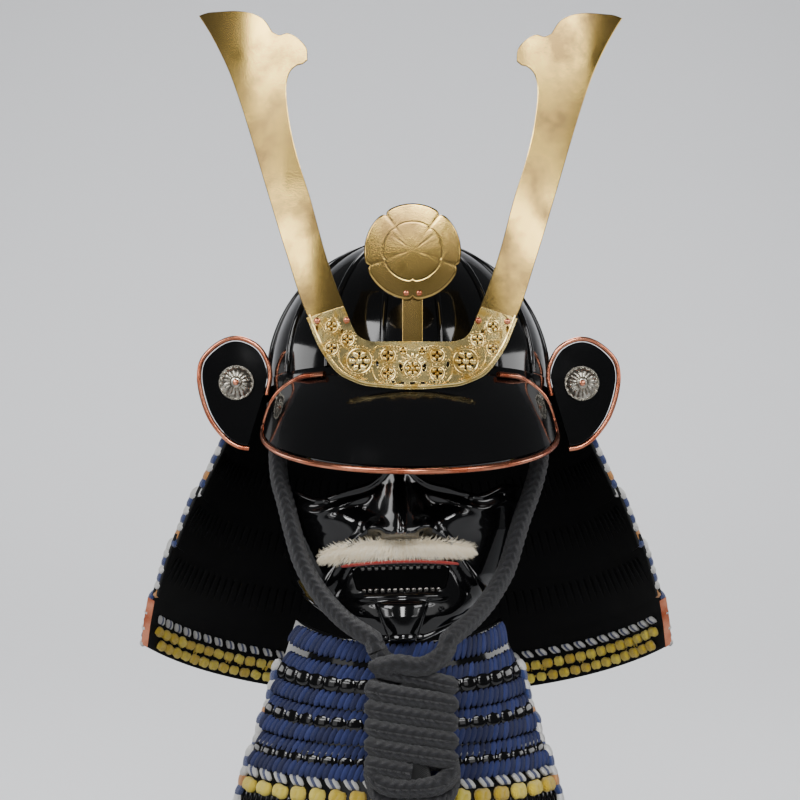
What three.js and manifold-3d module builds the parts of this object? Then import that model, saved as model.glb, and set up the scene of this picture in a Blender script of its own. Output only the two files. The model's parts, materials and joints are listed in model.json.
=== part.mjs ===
// A samurai helmet with its face mask and throat guard, as worn. Millimetres, +Z up, the face looks along -Y.
// The origin is the centre of the bowl's lower rim, the level at which the helmet sits on a head.
import * as THREE from "three";
import { mergeVertices } from "three/addons/utils/BufferGeometryUtils.js";
import Module from "manifold-3d";

const wasm = await Module();
wasm.setup();

// Space left between pieces that touch.
const clearance = 0.3;

// Bowl: sixteen lacquered plates, a raised rib at each joint, a ring round the hole at the crown.
const bowlHalfWidth = 118;
const bowlHalfDepth = 134;
const bowlHeight = 120;
const bowlWall = 2.5;
const plateCount = 16;
const ribHeight = 3;
const ribWidth = 5;
const crownHoleRadius = 16;
const crownRingRadius = 25;
const crownRingHeight = 7;
const bandHeight = 22;
const bandStandsOut = 1;

// Peak: a curved plate below the bowl's front, with a round copper rim.
const peakHalfSpan = bowlHalfWidth;
const peakReach = 193;
const peakDrop = 84;
const peakCornerBack = 62;
const peakCornerDrop = 40;
const peakRootBelow = 8;
const peakRootHalfAngle = THREE.MathUtils.degToRad(46);
const peakWall = 2.5;
const peakBulge = 6;
const rimRadius = 2.3;
const rimReturn = 0.55;

// Horn sheet: the holder, the horns and the crest stand in one curved upright sheet before the bowl.
const sheetReach = 156;
const sheetCurveRadius = 300;
const sheetLean = 0.04;
const holderHalfWidth = 81;
const holderHeight = 64;
const holderPlate = 2;
const hornHalfSpan = 169;
const hornTop = 280;
const hornPlate = 2.4;
const crestCentreHeight = 82;
const crestRadius = 37;
const crestPlate = 2.4;
const crestLobes = 5;
const postWidth = 15.5;
const postPlate = 2.4;
const rivetRadius = 2.6;
const rivetHeight = 1.8;

// Ears: the turned-back fronts of the top neck lame, each with a rim and a round crest.
const earWidth = 53;
const earHeight = 85;
const earTuck = 1.5;
const earInnerEdge = bowlHalfWidth - earTuck;
const earBottom = -57;
const earPlate = 2.4;
const earRimRadius = 2;
const earCrestRadius = 14.5;
const earCrestHeight = 6;

// Neck guard: five lames that spread from the bowl's band to a wide lower rim.
const guardSeatGap = 1.3;
const guardTopBelow = 7;
const guardHeight = 215;
const guardBottomRadius = 240;
const guardBottomForward = 55;
const guardFrontTop = -45;
const guardFrontBottom = 35;
const guardBackDrop = 0.335;
const lameWall = 2.4;
const lameOverlap = 8;
const lameCount = 5;
const topLameShare = 0.224;
const guardLacing = 3.6;
const edgeStripWall = 1.2;
const edgeStripWidth = 7;
const cornerWidth = 38;
const cornerPlate = 1.4;

// Face mask: half mask with nose, open mouth and chin, hung a little to its left on the cord.
const maskShift = -9;
const maskRoll = THREE.MathUtils.degToRad(-1.5);
const maskPivotBelow = 130;
const maskHalfWidth = 98;
const maskSideBack = 38;
const maskFront = 128;
const maskTop = -92;
const maskChin = -213;
const maskWall = 2.4;
const noseReach = 31;
const noseHalfWidth = 16;
const mouthHalfWidth = 37;
const mouthHeight = 17;
const mouthBelow = 166;
const moustacheHalfWidth = 61;
const moustacheHeight = 19;
const moustacheThickness = 7;
const moustacheBelow = 148;
const feltHeight = 5;
const feltThickness = 2;

// Throat guard: four lames hung below the mask.
const throatTopHalfWidth = 79;
const throatBottomHalfWidth = 130;
const throatTop = -197;
const throatHeight = 166;
const throatSide = 74;
const throatFront = 124;
const throatSpread = 8;
const throatDip = 17;
const throatHalfAngle = THREE.MathUtils.degToRad(66);
const throatLameEnds = [0, 0.25, 0.44, 0.6, 1];
const throatLameCount = throatLameEnds.length - 1;
const throatLacing = 3.6;
const throatLacingShare = 0.86;

// Chin cord: a soft round cord from the band over each cheek to the knot. Route points are in order.
const cordRadius = 7.75;
const cordSides = 8;
const leftCordRoute = [
  [-109, -51, -22.7],
  [-109, -51, -32],
  [-107.5, -53, -43],
  [-107, -60, -56],
  [-106, -69, -72],
  [-104, -78, -88],
  [-98.5, -88, -106],
  [-95.7, -92.4, -117.3],
  [-92.5, -97, -129],
  [-84.5, -105, -154],
  [-69, -119, -179],
  [-50.5, -136, -198],
  [-35, -149, -208],
  [-26.5, -154, -214.5],
  [-26.5, -154, -220.6],
];
const rightCordRoute = [
  [109, -51, -22.7],
  [109, -51, -32],
  [107.5, -53, -43],
  [106.5, -59, -56],
  [103.5, -68, -76],
  [96.5, -78, -98],
  [89, -87, -116],
  [82.5, -94, -135],
  [78.6, -97.7, -147.5],
  [74, -102, -160],
  [57.5, -118, -185],
  [41, -137, -201],
  [30, -149, -209],
  [24.5, -154, -214.5],
  [24.5, -154, -220.6],
];
const leftTailRoute = [
  [-16, -155, -338.4],
  [-16.3, -155, -348],
  [-17.5, -155, -362],
  [-19, -154, -378],
  [-20, -153, -394],
  [-20.3, -152.5, -410],
  [-20, -152, -425],
  [-19.8, -152, -435.4],
];
const rightTailRoute = [
  [14, -156, -338.4],
  [14.3, -156, -348],
  [15.5, -156, -362],
  [16.8, -155.5, -378],
  [17.3, -155, -394],
  [17.2, -154.6, -410],
  [16.9, -154.2, -424],
  [16.8, -154, -434],
];
const knotHalfWidth = 36;
const knotTop = -221;
const knotBottom = -338;
const knotFront = -171;
const knotThickness = 30;

const materials = {
  blackLacquer: surface(0x0b0b0d, 0.18, 0.1),
  gilt: surface(0xc9a04a, 0.3, 1),
  paleGilt: surface(0xd9c07a, 0.35, 1),
  brass: surface(0xb8902f, 0.18, 1),
  copper: surface(0xb5694a, 0.35, 1),
  blueLacing: surface(0x26356f, 0.85, 0),
  fur: surface(0xe6dcc4, 0.95, 0),
  redFelt: surface(0x8f1f1c, 0.9, 0),
  blackCord: surface(0x1b1b1d, 0.85, 0),
};

function surface(color, roughness, metalness) {
  return new THREE.MeshStandardMaterial({ color, roughness, metalness });
}

const point = (x, y, z) => new THREE.Vector3(x, y, z);
const lerp = THREE.MathUtils.lerp;
const bump = (distance, width) => Math.exp(-((distance / width) ** 2));
const shares = (count) => Array.from({ length: count + 1 }, (_, i) => i / count);

// The value of a two-column table, [share, value], at a share between its rows.
function fromTable(table, share) {
  const after = table.findIndex((row) => row[0] >= share);
  if (after <= 0) return after === 0 ? table[0][1] : table.at(-1)[1];
  const [low, high] = [table[after - 1], table[after]];
  return lerp(low[1], high[1], (share - low[0]) / (high[0] - low[0]));
}

// Turns a closed mesh's faces outwards and keeps its positions alone, with shared vertices merged.
function closedBody(geometry) {
  const bare = geometry.clone();
  bare.deleteAttribute("normal");
  bare.deleteAttribute("uv");
  const body = mergeVertices(bare, 1e-4);
  const [place, index] = [body.getAttribute("position"), body.getIndex()];
  const corner = (i) => new THREE.Vector3().fromBufferAttribute(place, index.getX(i));
  let volume = 0;
  for (let i = 0; i < index.count; i += 3) volume += corner(i).dot(corner(i + 1).cross(corner(i + 2)));
  if (volume < 0) index.array.reverse();
  body.computeVertexNormals();
  return body;
}

// A wall between two surfaces, place(u, v, side): side 0 and side 1 over the same rows and columns.
function wallBetween(place, columns, rows, ring = false) {
  const across = ring ? columns.length - 1 : columns.length;
  const positions = [0, 1].flatMap((side) =>
    rows.flatMap((v) => columns.slice(0, across).flatMap((u) => place(u, v, side).toArray())),
  );
  const faces = [];
  const at = (side, i, j) => (side * rows.length + j) * across + (i % across);
  const quad = (a, b, c, d) => faces.push(a, b, c, a, c, d);
  const [lastRow, lastColumn] = [rows.length - 1, columns.length - 1];
  for (let i = 0; i < lastColumn; i++) {
    for (let j = 0; j < lastRow; j++) {
      quad(at(0, i, j), at(0, i, j + 1), at(0, i + 1, j + 1), at(0, i + 1, j));
      quad(at(1, i, j), at(1, i + 1, j), at(1, i + 1, j + 1), at(1, i, j + 1));
    }
    quad(at(0, i, 0), at(0, i + 1, 0), at(1, i + 1, 0), at(1, i, 0));
    quad(at(0, i, lastRow), at(1, i, lastRow), at(1, i + 1, lastRow), at(0, i + 1, lastRow));
  }
  for (let j = 0; j < lastRow && !ring; j++) {
    quad(at(0, 0, j), at(1, 0, j), at(1, 0, j + 1), at(0, 0, j + 1));
    quad(at(0, lastColumn, j), at(0, lastColumn, j + 1), at(1, lastColumn, j + 1), at(1, lastColumn, j));
  }
  const wall = new THREE.BufferGeometry();
  wall.setAttribute("position", new THREE.Float32BufferAttribute(positions, 3));
  wall.setIndex(faces);
  return closedBody(wall);
}

// A round bar along a smooth curve through the route's points.
function barAlong(route, radius, sides, steps) {
  const section = new THREE.Shape(
    shares(sides).slice(0, sides).map((share) => {
      const turn = share * 2 * Math.PI;
      return new THREE.Vector2(radius * Math.cos(turn), radius * Math.sin(turn));
    }),
  );
  const extrudePath = new THREE.CatmullRomCurve3(route, false, "centripetal");
  return closedBody(new THREE.ExtrudeGeometry(section, { steps, extrudePath, bevelEnabled: false }));
}

// A plate cut from an outline in (across, up) and bent onto place(across, up, depth).
function bentPlate(outline, thickness, place, curveSegments = 4) {
  const plate = new THREE.ExtrudeGeometry(outline, { depth: thickness, bevelEnabled: false, curveSegments });
  const spots = plate.getAttribute("position");
  for (let i = 0; i < spots.count; i++) {
    const bent = place(spots.getX(i), spots.getY(i), spots.getZ(i));
    spots.setXYZ(i, bent.x, bent.y, bent.z);
  }
  return closedBody(plate);
}

// A turned body whose axis points along -Y, from a profile of [radius, height above its seat] rows.
function turnedBoss(profile, segments) {
  const rows = profile.map(([radius, height]) => new THREE.Vector2(radius, height));
  return closedBody(new THREE.LatheGeometry(rows, segments).rotateX(Math.PI));
}

// What is left of one solid when another is cut out of it, or what two solids share.
function cutSolid(body, tool, way) {
  const solid = (geometry) =>
    new wasm.Manifold(
      new wasm.Mesh({
        numProp: 3,
        vertProperties: new Float32Array(geometry.getAttribute("position").array),
        triVerts: new Uint32Array(geometry.getIndex().array),
      }),
    );
  const left = way === "subtract" ? solid(body).subtract(solid(tool)) : solid(body).intersect(solid(tool));
  const { vertProperties, triVerts } = left.getMesh();
  const result = new THREE.BufferGeometry();
  result.setAttribute("position", new THREE.Float32BufferAttribute(vertProperties, 3));
  result.setIndex([...triVerts]);
  return closedBody(result);
}

// A straight block with an outline in (across, up), long enough along Y to pass the whole front.
function throughBlock(outline, curveSegments = 4) {
  const reach = 2 * peakReach;
  return bentPlate(outline, reach, (across, up, depth) => point(across, depth - reach, up), curveSegments);
}

// A plate of the curved upright sheet inside an outline, its face a named way behind the sheet's face.
function sheetPlate(outline, back, thickness, columnWidth) {
  const spots = outline.getPoints(4);
  const [left, right] = [Math.min(...spots.map((spot) => spot.x)), Math.max(...spots.map((spot) => spot.x))];
  const [low, high] = [Math.min(...spots.map((spot) => spot.y)), Math.max(...spots.map((spot) => spot.y))];
  const place = (u, v, side) =>
    sheetPoint(lerp(left - 1, right + 1, u), lerp(low - 1, high + 1, v), back + side * thickness);
  const wall = wallBetween(place, shares(Math.ceil((right - left) / columnWidth)), [0, 1]);
  return cutSolid(wall, throughBlock(outline), "intersect");
}

const helmet = new THREE.Group();
const maskGroup = new THREE.Group();
const throatGroup = new THREE.Group();
helmet.add(maskGroup, throatGroup);
maskGroup.rotation.y = maskRoll;
maskGroup.position.set(
  maskShift + maskPivotBelow * Math.sin(maskRoll),
  0,
  maskPivotBelow * (Math.cos(maskRoll) - 1),
);
throatGroup.position.x = maskShift;

function addPiece(name, geometry, material, parent = helmet) {
  const mesh = new THREE.Mesh(geometry, material);
  mesh.name = name;
  parent.add(mesh);
  return mesh;
}

// Bowl. The turn runs round from the front, the tilt down from the crown to the rim.
const crownTilt = Math.asin(crownHoleRadius / bowlHalfWidth);

function bowlPoint(turn, tilt, proud) {
  const ring = Math.sin(tilt);
  return point(
    (bowlHalfWidth + proud) * ring * Math.sin(turn),
    -(bowlHalfDepth + proud) * ring * Math.cos(turn),
    (bowlHeight + proud) * Math.cos(tilt),
  );
}

function makeBowl() {
  const plateTurn = (2 * Math.PI) / plateCount;
  const perPlate = 4;
  const place = (u, v, side) => {
    const tilt = lerp(crownTilt, Math.PI / 2, v);
    const stepsRound = Math.round(u * plateCount * perPlate);
    const [plate, part] = [Math.floor(stepsRound / perPlate), stepsRound % perPlate];
    const ribHalfTurn = Math.min(ribWidth / 2 / (bowlHalfWidth * Math.sin(tilt)), plateTurn / 3);
    const offset = [-ribHalfTurn, 0, ribHalfTurn, plateTurn / 2][part];
    const isRib = part === 1;
    const proud = side === 0 ? -bowlWall : isRib ? ribHeight * lerp(0.5, 1, v) : 0;
    return bowlPoint((plate + 0.5) * plateTurn + offset, tilt, proud);
  };
  return wallBetween(place, shares(plateCount * perPlate), shares(5), true);
}

function makeCrownRing() {
  const collar = crownHoleRadius - clearance;
  const seat = bowlHeight + ribHeight + clearance;
  const profile = [
    [collar - 2, seat - ribHeight - bowlWall],
    [collar, seat - ribHeight - bowlWall],
    [collar, seat - 0.5],
    [crownRingRadius, seat - 2],
    [crownRingRadius, seat],
    [crownRingRadius * 0.8, seat + crownRingHeight * 0.45],
    [crownRingRadius * 0.68, seat + crownRingHeight],
    [collar - 2, seat + crownRingHeight],
    [collar - 2, seat - ribHeight - bowlWall],
  ];
  const rows = profile.map(([radius, height]) => new THREE.Vector2(radius, height));
  return closedBody(new THREE.LatheGeometry(rows, 12).rotateX(Math.PI / 2));
}

function makeWaistBand() {
  const place = (u, v, side) => {
    const spot = bowlPoint(u * 2 * Math.PI, Math.PI / 2, side === 0 ? -bowlWall : bandStandsOut);
    return spot.setZ(-clearance - v * bandHeight);
  };
  return wallBetween(place, shares(32), [0, 1], true);
}

// Peak. Across runs from -1 to 1, down from 0 at the root to 1 at the rim.
function peakPoint(across, down, proud) {
  const rootTurn = across * peakRootHalfAngle;
  const rootProud = bandStandsOut + clearance + peakWall;
  const root = bowlPoint(rootTurn, Math.PI / 2, rootProud).setZ(-peakRootBelow);
  const turn = (across * Math.PI) / 2;
  const front = Math.max(0, Math.cos(turn));
  const edge = point(
    peakHalfSpan * Math.sin(turn),
    -lerp(peakCornerBack, peakReach, front),
    -lerp(peakCornerDrop, peakDrop, front ** 0.8),
  );
  const outwards = point(0.9 * Math.sin(turn), -0.9 * front - 0.1, 0.75).normalize();
  return root.lerp(edge, down).addScaledVector(outwards, peakBulge * Math.sin(Math.PI * down) + proud);
}

function makePeak() {
  const place = (u, v, side) => peakPoint(2 * u - 1, v, side === 0 ? -peakWall : 0);
  return wallBetween(place, shares(20), shares(4));
}

function makePeakRim() {
  const beyond = rimRadius + 4 * clearance;
  const sideShares = [rimReturn / 2, rimReturn, 1 - rimReturn / 2];
  const spots = [
    ...sideShares.map((down) => [-1, down]),
    ...shares(24).map((share) => [2 * share - 1, 1]),
    ...sideShares.map((down) => [1, down]).reverse(),
  ];
  const edge = spots.map(([across, down]) => peakPoint(across, down, -peakWall / 2));
  const route = edge.map((spot, i) => {
    const along = edge[Math.min(i + 1, edge.length - 1)].clone().sub(edge[Math.max(i - 1, 0)]).normalize();
    const [across, down] = spots[i];
    const away = spot.clone().sub(peakPoint(across * 0.93, down * 0.93, -peakWall / 2));
    away.addScaledVector(along, -away.dot(along)).normalize();
    return spot.clone().addScaledVector(away, beyond);
  });
  return barAlong(route, rimRadius, 6, 48);
}

// The upright sheet that holder, horns and crest lie in: its face at a place across and up.
const peakSeatHeight = peakTopAt(sheetReach - holderPlate);

function peakTopAt(reach) {
  let [near, far] = [0, 1];
  for (let i = 0; i < 30; i++) {
    const down = (near + far) / 2;
    if (-peakPoint(0, down, 0).y < reach) near = down;
    else far = down;
  }
  return peakPoint(0, near, 0).z;
}

function sheetPoint(across, up, back) {
  const reach = sheetReach - (across * across) / (2 * sheetCurveRadius) + sheetLean * (up - peakSeatHeight);
  return point(across, -reach + back, up);
}

// Holder outline from the bottom's middle up one arm, [across, up] as shares of half width and height.
const holderOuter = [
  [0.1, 0.003],
  [0.2, 0.012],
  [0.32, 0.028],
  [0.45, 0.05],
  [0.58, 0.11],
  [0.7, 0.2],
  [0.87, 0.49],
  [1, 0.87],
];
const holderInner = [
  [0.65, 1],
  [0.51, 0.64],
  [0.41, 0.58],
  [0.28, 0.57],
  [0.14, 0.57],
  [0, 0.57],
];

// Pierced flowers in the holder: [across, up] as shares, radius in mm, number of petals.
const holderFlowers = [
  [0, 0.25, 5, 6],
  [0.09, 0.46, 2.8, 3],
  [0.23, 0.4, 4, 4],
  [0.23, 0.19, 4, 4],
  [0.5, 0.34, 7, 6],
  [0.61, 0.6, 3.6, 4],
  [0.76, 0.5, 3.6, 4],
  [0.76, 0.76, 3.6, 4],
];
const flowerPetalShare = 0.62;
const petalGapShare = 0.3;

function petalHole(centreX, centreY, radius, turn, petals) {
  const along = new THREE.Vector2(Math.cos(turn), Math.sin(turn));
  const sideways = new THREE.Vector2(-along.y, along.x);
  const spot = (a, s) =>
    new THREE.Vector2(centreX, centreY).addScaledVector(along, a * radius).addScaledVector(sideways, s * radius);
  const tip = flowerPetalShare;
  const halfWidth = tip * Math.tan(((1 - petalGapShare) * Math.PI) / petals);
  return new THREE.Path([spot(0.35, 0), spot(tip, halfWidth), spot(1, 0), spot(tip, -halfWidth)]);
}

const holderBottom = peakSeatHeight + clearance;
const sheetColumn = 20;

function makeHolder() {
  const spot = ([across, up], side) =>
    new THREE.Vector2(side * across * holderHalfWidth, holderBottom + up * holderHeight);
  const rightOuter = holderOuter.map((row) => spot(row, 1));
  const leftOuter = holderOuter.map((row) => spot(row, -1)).reverse();
  const rightInner = holderInner.map((row) => spot(row, 1));
  const leftInner = holderInner.slice(0, -1).map((row) => spot(row, -1)).reverse();
  const bottom = spot([0, 0], 1);
  const outline = new THREE.Shape([bottom, ...rightOuter, ...rightInner, ...leftInner, ...leftOuter]);
  for (const [across, up, radius, petals] of holderFlowers)
    for (const side of across === 0 ? [1] : [-1, 1])
      for (let i = 0; i < petals; i++) {
        const centre = spot([across, up], side);
        const turn = Math.PI / 2 + (i * 2 * Math.PI) / petals;
        outline.holes.push(petalHole(centre.x, centre.y, radius, turn, petals));
      }
  return sheetPlate(outline, 0, holderPlate, sheetColumn);
}

// Horn outline from the foot up the outer edge, round the top and down the inner edge.
// [across, up] as shares of the half span and of the height from the holder's bottom to the tips.
const hornOutline = [
  [0.407, 0.13],
  [0.484, 0.202],
  [0.569, 0.343],
  [0.673, 0.531],
  [0.742, 0.659],
  [0.798, 0.758],
  [0.848, 0.836],
  [0.898, 0.898],
  [0.955, 0.959],
  [1, 1],
  [0.911, 1.002],
  [0.811, 0.996],
  [0.74, 0.984],
  [0.684, 0.963],
  [0.645, 0.929],
  [0.573, 0.922],
  [0.519, 0.903],
  [0.484, 0.876],
  [0.48, 0.848],
  [0.526, 0.837],
  [0.562, 0.82],
  [0.578, 0.785],
  [0.561, 0.687],
  [0.52, 0.59],
  [0.466, 0.494],
  [0.397, 0.353],
  [0.342, 0.26],
  [0.277, 0.17],
];
const hornFoot = [0.34, 0.115];

function makeHorn(side) {
  const spot = ([across, up]) =>
    new THREE.Vector2(side * across * hornHalfSpan, holderBottom + up * (hornTop - holderBottom));
  const outline = new THREE.Shape([...hornOutline, hornFoot].map(spot));
  return sheetPlate(outline, holderPlate + 2 * clearance, hornPlate, sheetColumn);
}

function makeCrestPost() {
  const [half, low, high] = [postWidth / 2, holderBottom + holderHeight * 0.2, crestCentreHeight];
  const outline = new THREE.Shape([
    new THREE.Vector2(-half, low),
    new THREE.Vector2(half, low),
    new THREE.Vector2(half, high),
    new THREE.Vector2(-half, high),
  ]);
  return sheetPlate(outline, holderPlate + 2 * clearance, postPlate, sheetColumn);
}

// Crest disc: a round plate with a shallow notch between its lobes.
function makeCrestDisc() {
  const count = crestLobes * 10;
  const outline = new THREE.Shape(
    shares(count).slice(0, count).map((share) => {
      const turn = share * 2 * Math.PI - Math.PI / 2;
      const lobe = Math.abs(Math.sin((share * crestLobes) * Math.PI));
      const radius = crestRadius * (1 - 0.06 * (1 - lobe) ** 3);
      return new THREE.Vector2(radius * Math.cos(turn), crestCentreHeight + radius * Math.sin(turn));
    }),
  );
  const faceBack = holderPlate - crestPlate;
  return bentPlate(outline, crestPlate, (across, up, depth) =>
    point(across, sheetPoint(0, up, 0).y + faceBack + depth, up),
  );
}

function makeRivet() {
  return turnedBoss(
    [
      [0, 0],
      [rivetRadius, 0],
      [rivetRadius * 0.8, rivetHeight * 0.75],
      [0, rivetHeight],
    ],
    10,
  );
}

// Ears. Outline from the root's upper end round to its lower end, [outwards, up] as shares.
const earOutline = [
  [0.05, 0.49],
  [0, 0.69],
  [0.12, 0.89],
  [0.33, 0.985],
  [0.56, 1],
  [0.8, 0.92],
  [0.97, 0.79],
  [1, 0.66],
  [0.95, 0.48],
  [0.85, 0.3],
  [0.72, 0.17],
  [0.57, 0.07],
  [0.42, 0.015],
  [0.28, 0],
];

const earMiddle = [0.47, 0.55];
const crestPlace = [0.47, 0.6];

function earPoint(outwards, up, back, side) {
  const front = guardFrontTop - 4 * clearance - earPlate;
  return point(side * (earInnerEdge + outwards * earWidth), front + back, earBottom + up * earHeight);
}

function makeEar(side) {
  const outline = new THREE.Shape(earOutline.map(([outwards, up]) => new THREE.Vector2(outwards, up)));
  return bentPlate(outline, earPlate, (outwards, up, back) => earPoint(outwards, up, back, side));
}

function makeEarRim(side) {
  const route = earOutline.map(([outwards, up]) => {
    const edge = earPoint(outwards, up, earPlate / 2, side);
    const away = edge.clone().sub(earPoint(...earMiddle, earPlate / 2, side)).normalize();
    return edge.addScaledVector(away, earRimRadius + clearance + 0.4);
  });
  return barAlong(route, earRimRadius, 6, 16);
}

function makeEarCrest() {
  return turnedBoss(
    [
      [0, 0],
      [earCrestRadius, 0],
      [earCrestRadius, earCrestHeight * 0.3],
      [earCrestRadius * 0.82, earCrestHeight * 0.42],
      [earCrestRadius * 0.7, earCrestHeight * 0.75],
      [earCrestRadius * 0.3, earCrestHeight],
      [0, earCrestHeight],
    ],
    16,
  );
}

// Neck guard. Round runs from -1 at the left front edge to 1 at the right, down from 0 to 1.
const guardTopHalfWidth = bowlHalfWidth + bandStandsOut + guardSeatGap;
const guardTopHalfDepth = bowlHalfDepth + bandStandsOut + guardSeatGap;

function guardPoint(round, down, proud) {
  const halfWidth = lerp(guardTopHalfWidth, guardBottomRadius, down);
  const halfDepth = lerp(guardTopHalfDepth, guardBottomRadius, down);
  const middle = -guardBottomForward * down;
  const front = lerp(guardFrontTop, guardFrontBottom, down ** 1.6);
  const frontTurn = Math.asin((front - middle) / halfDepth);
  const turn = lerp(Math.PI / 2, frontTurn, Math.abs(round));
  const side = Math.sign(round);
  const spot = point(
    side * halfWidth * Math.cos(turn),
    middle + halfDepth * Math.sin(turn),
    -guardTopBelow - guardHeight * down,
  );
  spot.z -= guardBackDrop * (spot.y - front) * down;
  const slope = (guardBottomRadius - guardTopHalfWidth) / guardHeight;
  const outwards = point(side * Math.cos(turn), Math.sin(turn), slope).normalize();
  return spot.addScaledVector(outwards, proud);
}

const guardColumns = shares(16);
const lameStep = lameWall + 1.8;
const edgeMargin = 0.015;
const cornerShare = cornerWidth / (guardBottomRadius * 1.19);

// The share of the guard's height where a lame ends.
function lameEnd(number) {
  return lerp(topLameShare, 1, (number - 1) / (lameCount - 1));
}

// The share of the guard's height where a lame starts, above the end of the lame before it.
function lameTop(number) {
  return number === 1 ? 0 : lameEnd(number - 1) - lameOverlap / guardHeight;
}

// How far a lame's inner face stands proud of the guard's surface at a share of its height.
function lameProud(number, down) {
  return number === 1 ? 0 : lameStep * (1 - down);
}

function makeLame(number) {
  const top = lameTop(number);
  const place = (u, v, side) =>
    guardPoint(2 * u - 1, lerp(top, lameEnd(number), v), lameProud(number, v) + side * lameWall);
  return wallBetween(place, guardColumns, [0, 0.5, 1]);
}

// Two rows of lacing as one corrugated band: [share of the lame's height, share of the thickness].
const lacingRows = [
  [0.24, 0.3],
  [0.38, 1],
  [0.53, 0.4],
  [0.68, 1],
  [0.8, 0.3],
];

function makeGuardLacing(number) {
  const top = lameTop(number);
  const reach = number === lameCount ? 1 - 2 * edgeMargin - cornerShare : 1 - edgeMargin;
  const place = (u, v, side) => {
    const seat = lameProud(number, v) + lameWall + 3 * clearance;
    const thickness = side * guardLacing * fromTable(lacingRows, v);
    return guardPoint((2 * u - 1) * reach, lerp(top, lameEnd(number), v), seat + thickness);
  };
  return wallBetween(place, guardColumns, lacingRows.map((row) => row[0]));
}

// A flat strip that caps the front edge of the lowest lame.
function makeEdgeStrip(end) {
  const top = lameEnd(lameCount - 1) + 0.02;
  const place = (u, v, side) => {
    const proud = lameProud(lameCount, v) + lameWall / 2 + (u - 0.5) * edgeStripWidth;
    const spot = guardPoint(end, lerp(top, 1, v), proud);
    return spot.setY(spot.y - clearance - 0.4 - (1 - side) * edgeStripWall);
  };
  return wallBetween(place, [0, 1], [0, 0.5, 1]);
}

// A gilt plate on the outside of the lowest lame's front corner.
function makeCornerPlate(end) {
  const place = (u, v, side) => {
    const down = lerp(0.84, 0.985, v);
    const share = (down - lameTop(lameCount)) / (1 - lameTop(lameCount));
    const proud = lameProud(lameCount, share) + lameWall + 4 * clearance;
    return guardPoint(end * (1 - edgeMargin - u * cornerShare), down, proud + side * cornerPlate);
  };
  return wallBetween(place, shares(3), shares(2));
}

// Mask. Across runs from -1 to 1, down from 0 at the top edge to 1 at the lower edge.
// Width and forward reach down the face: [share from top edge to chin, share of the full size].
const maskWidths = [
  [0, 1],
  [0.3, 0.99],
  [0.6, 0.89],
  [0.85, 0.68],
  [1, 0.5],
];
const maskDepths = [
  [0, 0.9],
  [0.3, 0.95],
  [0.6, 0.96],
  [0.85, 1.01],
  [1, 0.98],
];
const noseProfile = [
  [-0.1, 0.3],
  [0.05, 0.4],
  [0.2, 0.8],
  [0.32, 1],
  [0.335, 0.6],
  [0.345, 0],
  [1, 0],
];
const maskRows = [0, 0.17, 0.33, 0.4, 0.42, 0.432, 0.46, 0.52, 0.6, 0.7, 0.8, 0.87, 0.94, 1];

function maskTopEdge(across) {
  return maskTop + 16 * bump(across, 0.1) - 9 * bump(Math.abs(across) - 0.42, 0.16);
}

function maskLowerEdge(across) {
  return maskChin + 60 * Math.max(0, Math.abs(across) - 0.2) ** 1.3;
}

function maskPoint(across, down, proud) {
  const height = lerp(maskTopEdge(across), maskLowerEdge(across), down);
  const share = (maskTop - height) / (maskTop - maskChin);
  const halfWidth = maskHalfWidth * fromTable(maskWidths, share);
  const depth = (maskFront - maskSideBack) * fromTable(maskDepths, share);
  const turn = (across * Math.PI) / 2;
  const width = noseHalfWidth * lerp(0.6, 1.15, THREE.MathUtils.clamp(share / 0.35, 0, 1));
  const x = (halfWidth + proud) * Math.sin(turn);
  const nose = noseReach * fromTable(noseProfile, share) * bump(x, width);
  return point(x, -maskSideBack - (depth + proud) * Math.cos(turn) - nose, height);
}

function makeMask() {
  const place = (u, v, side) => maskPoint(warpCentre(2 * u - 1), v, side === 0 ? -maskWall : 0);
  const face = wallBetween(place, shares(22), maskRows);
  const mouth = new THREE.Shape();
  mouth.absellipse(0, -mouthBelow, mouthHalfWidth, mouthHeight / 2, 0, 2 * Math.PI);
  return cutSolid(face, throughBlock(mouth, 8), "subtract");
}

// Brings columns closer together near the nose.
function warpCentre(across) {
  return Math.sign(across) * Math.abs(across) ** 1.35;
}

// A strip laid on the mask's face, bowed down towards its tapered ends.
const stripSeat = clearance + 1.7;

function maskStrip(halfWidth, middle, height, thickness, droop, columns) {
  const place = (u, v, side) => {
    const x = (2 * u - 1) * halfWidth;
    const taper = Math.sqrt(Math.max(0.04, 1 - (x / halfWidth) ** 2));
    const up = -middle - droop * (x / halfWidth) ** 2 + (0.5 - v) * height * taper;
    const body = Math.sin(Math.PI * lerp(0.12, 0.88, v)) * thickness * taper;
    return onMask(x, up, stripSeat + side * Math.max(1, body));
  };
  return wallBetween(place, shares(columns), shares(3));
}

// The place on the mask at a distance across and a height, found by stepping round its surface.
function onMask(x, up, proud) {
  let [low, high] = [0, 1];
  for (let i = 0; i < 30; i++) {
    const middle = (low + high) / 2;
    if (maskAtHeight(middle, up, proud).x < Math.abs(x)) low = middle;
    else high = middle;
  }
  const spot = maskAtHeight(low, up, proud);
  return spot.setX(Math.sign(x) * spot.x);
}

function maskAtHeight(across, up, proud) {
  const [top, bottom] = [maskTopEdge(across), maskLowerEdge(across)];
  return maskPoint(across, (top - up) / (top - bottom), proud);
}

// Throat guard. Across runs from -1 to 1, down from 0 to 1. Its upper rows dip under the chin.
const throatColumns = shares(10);

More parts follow.
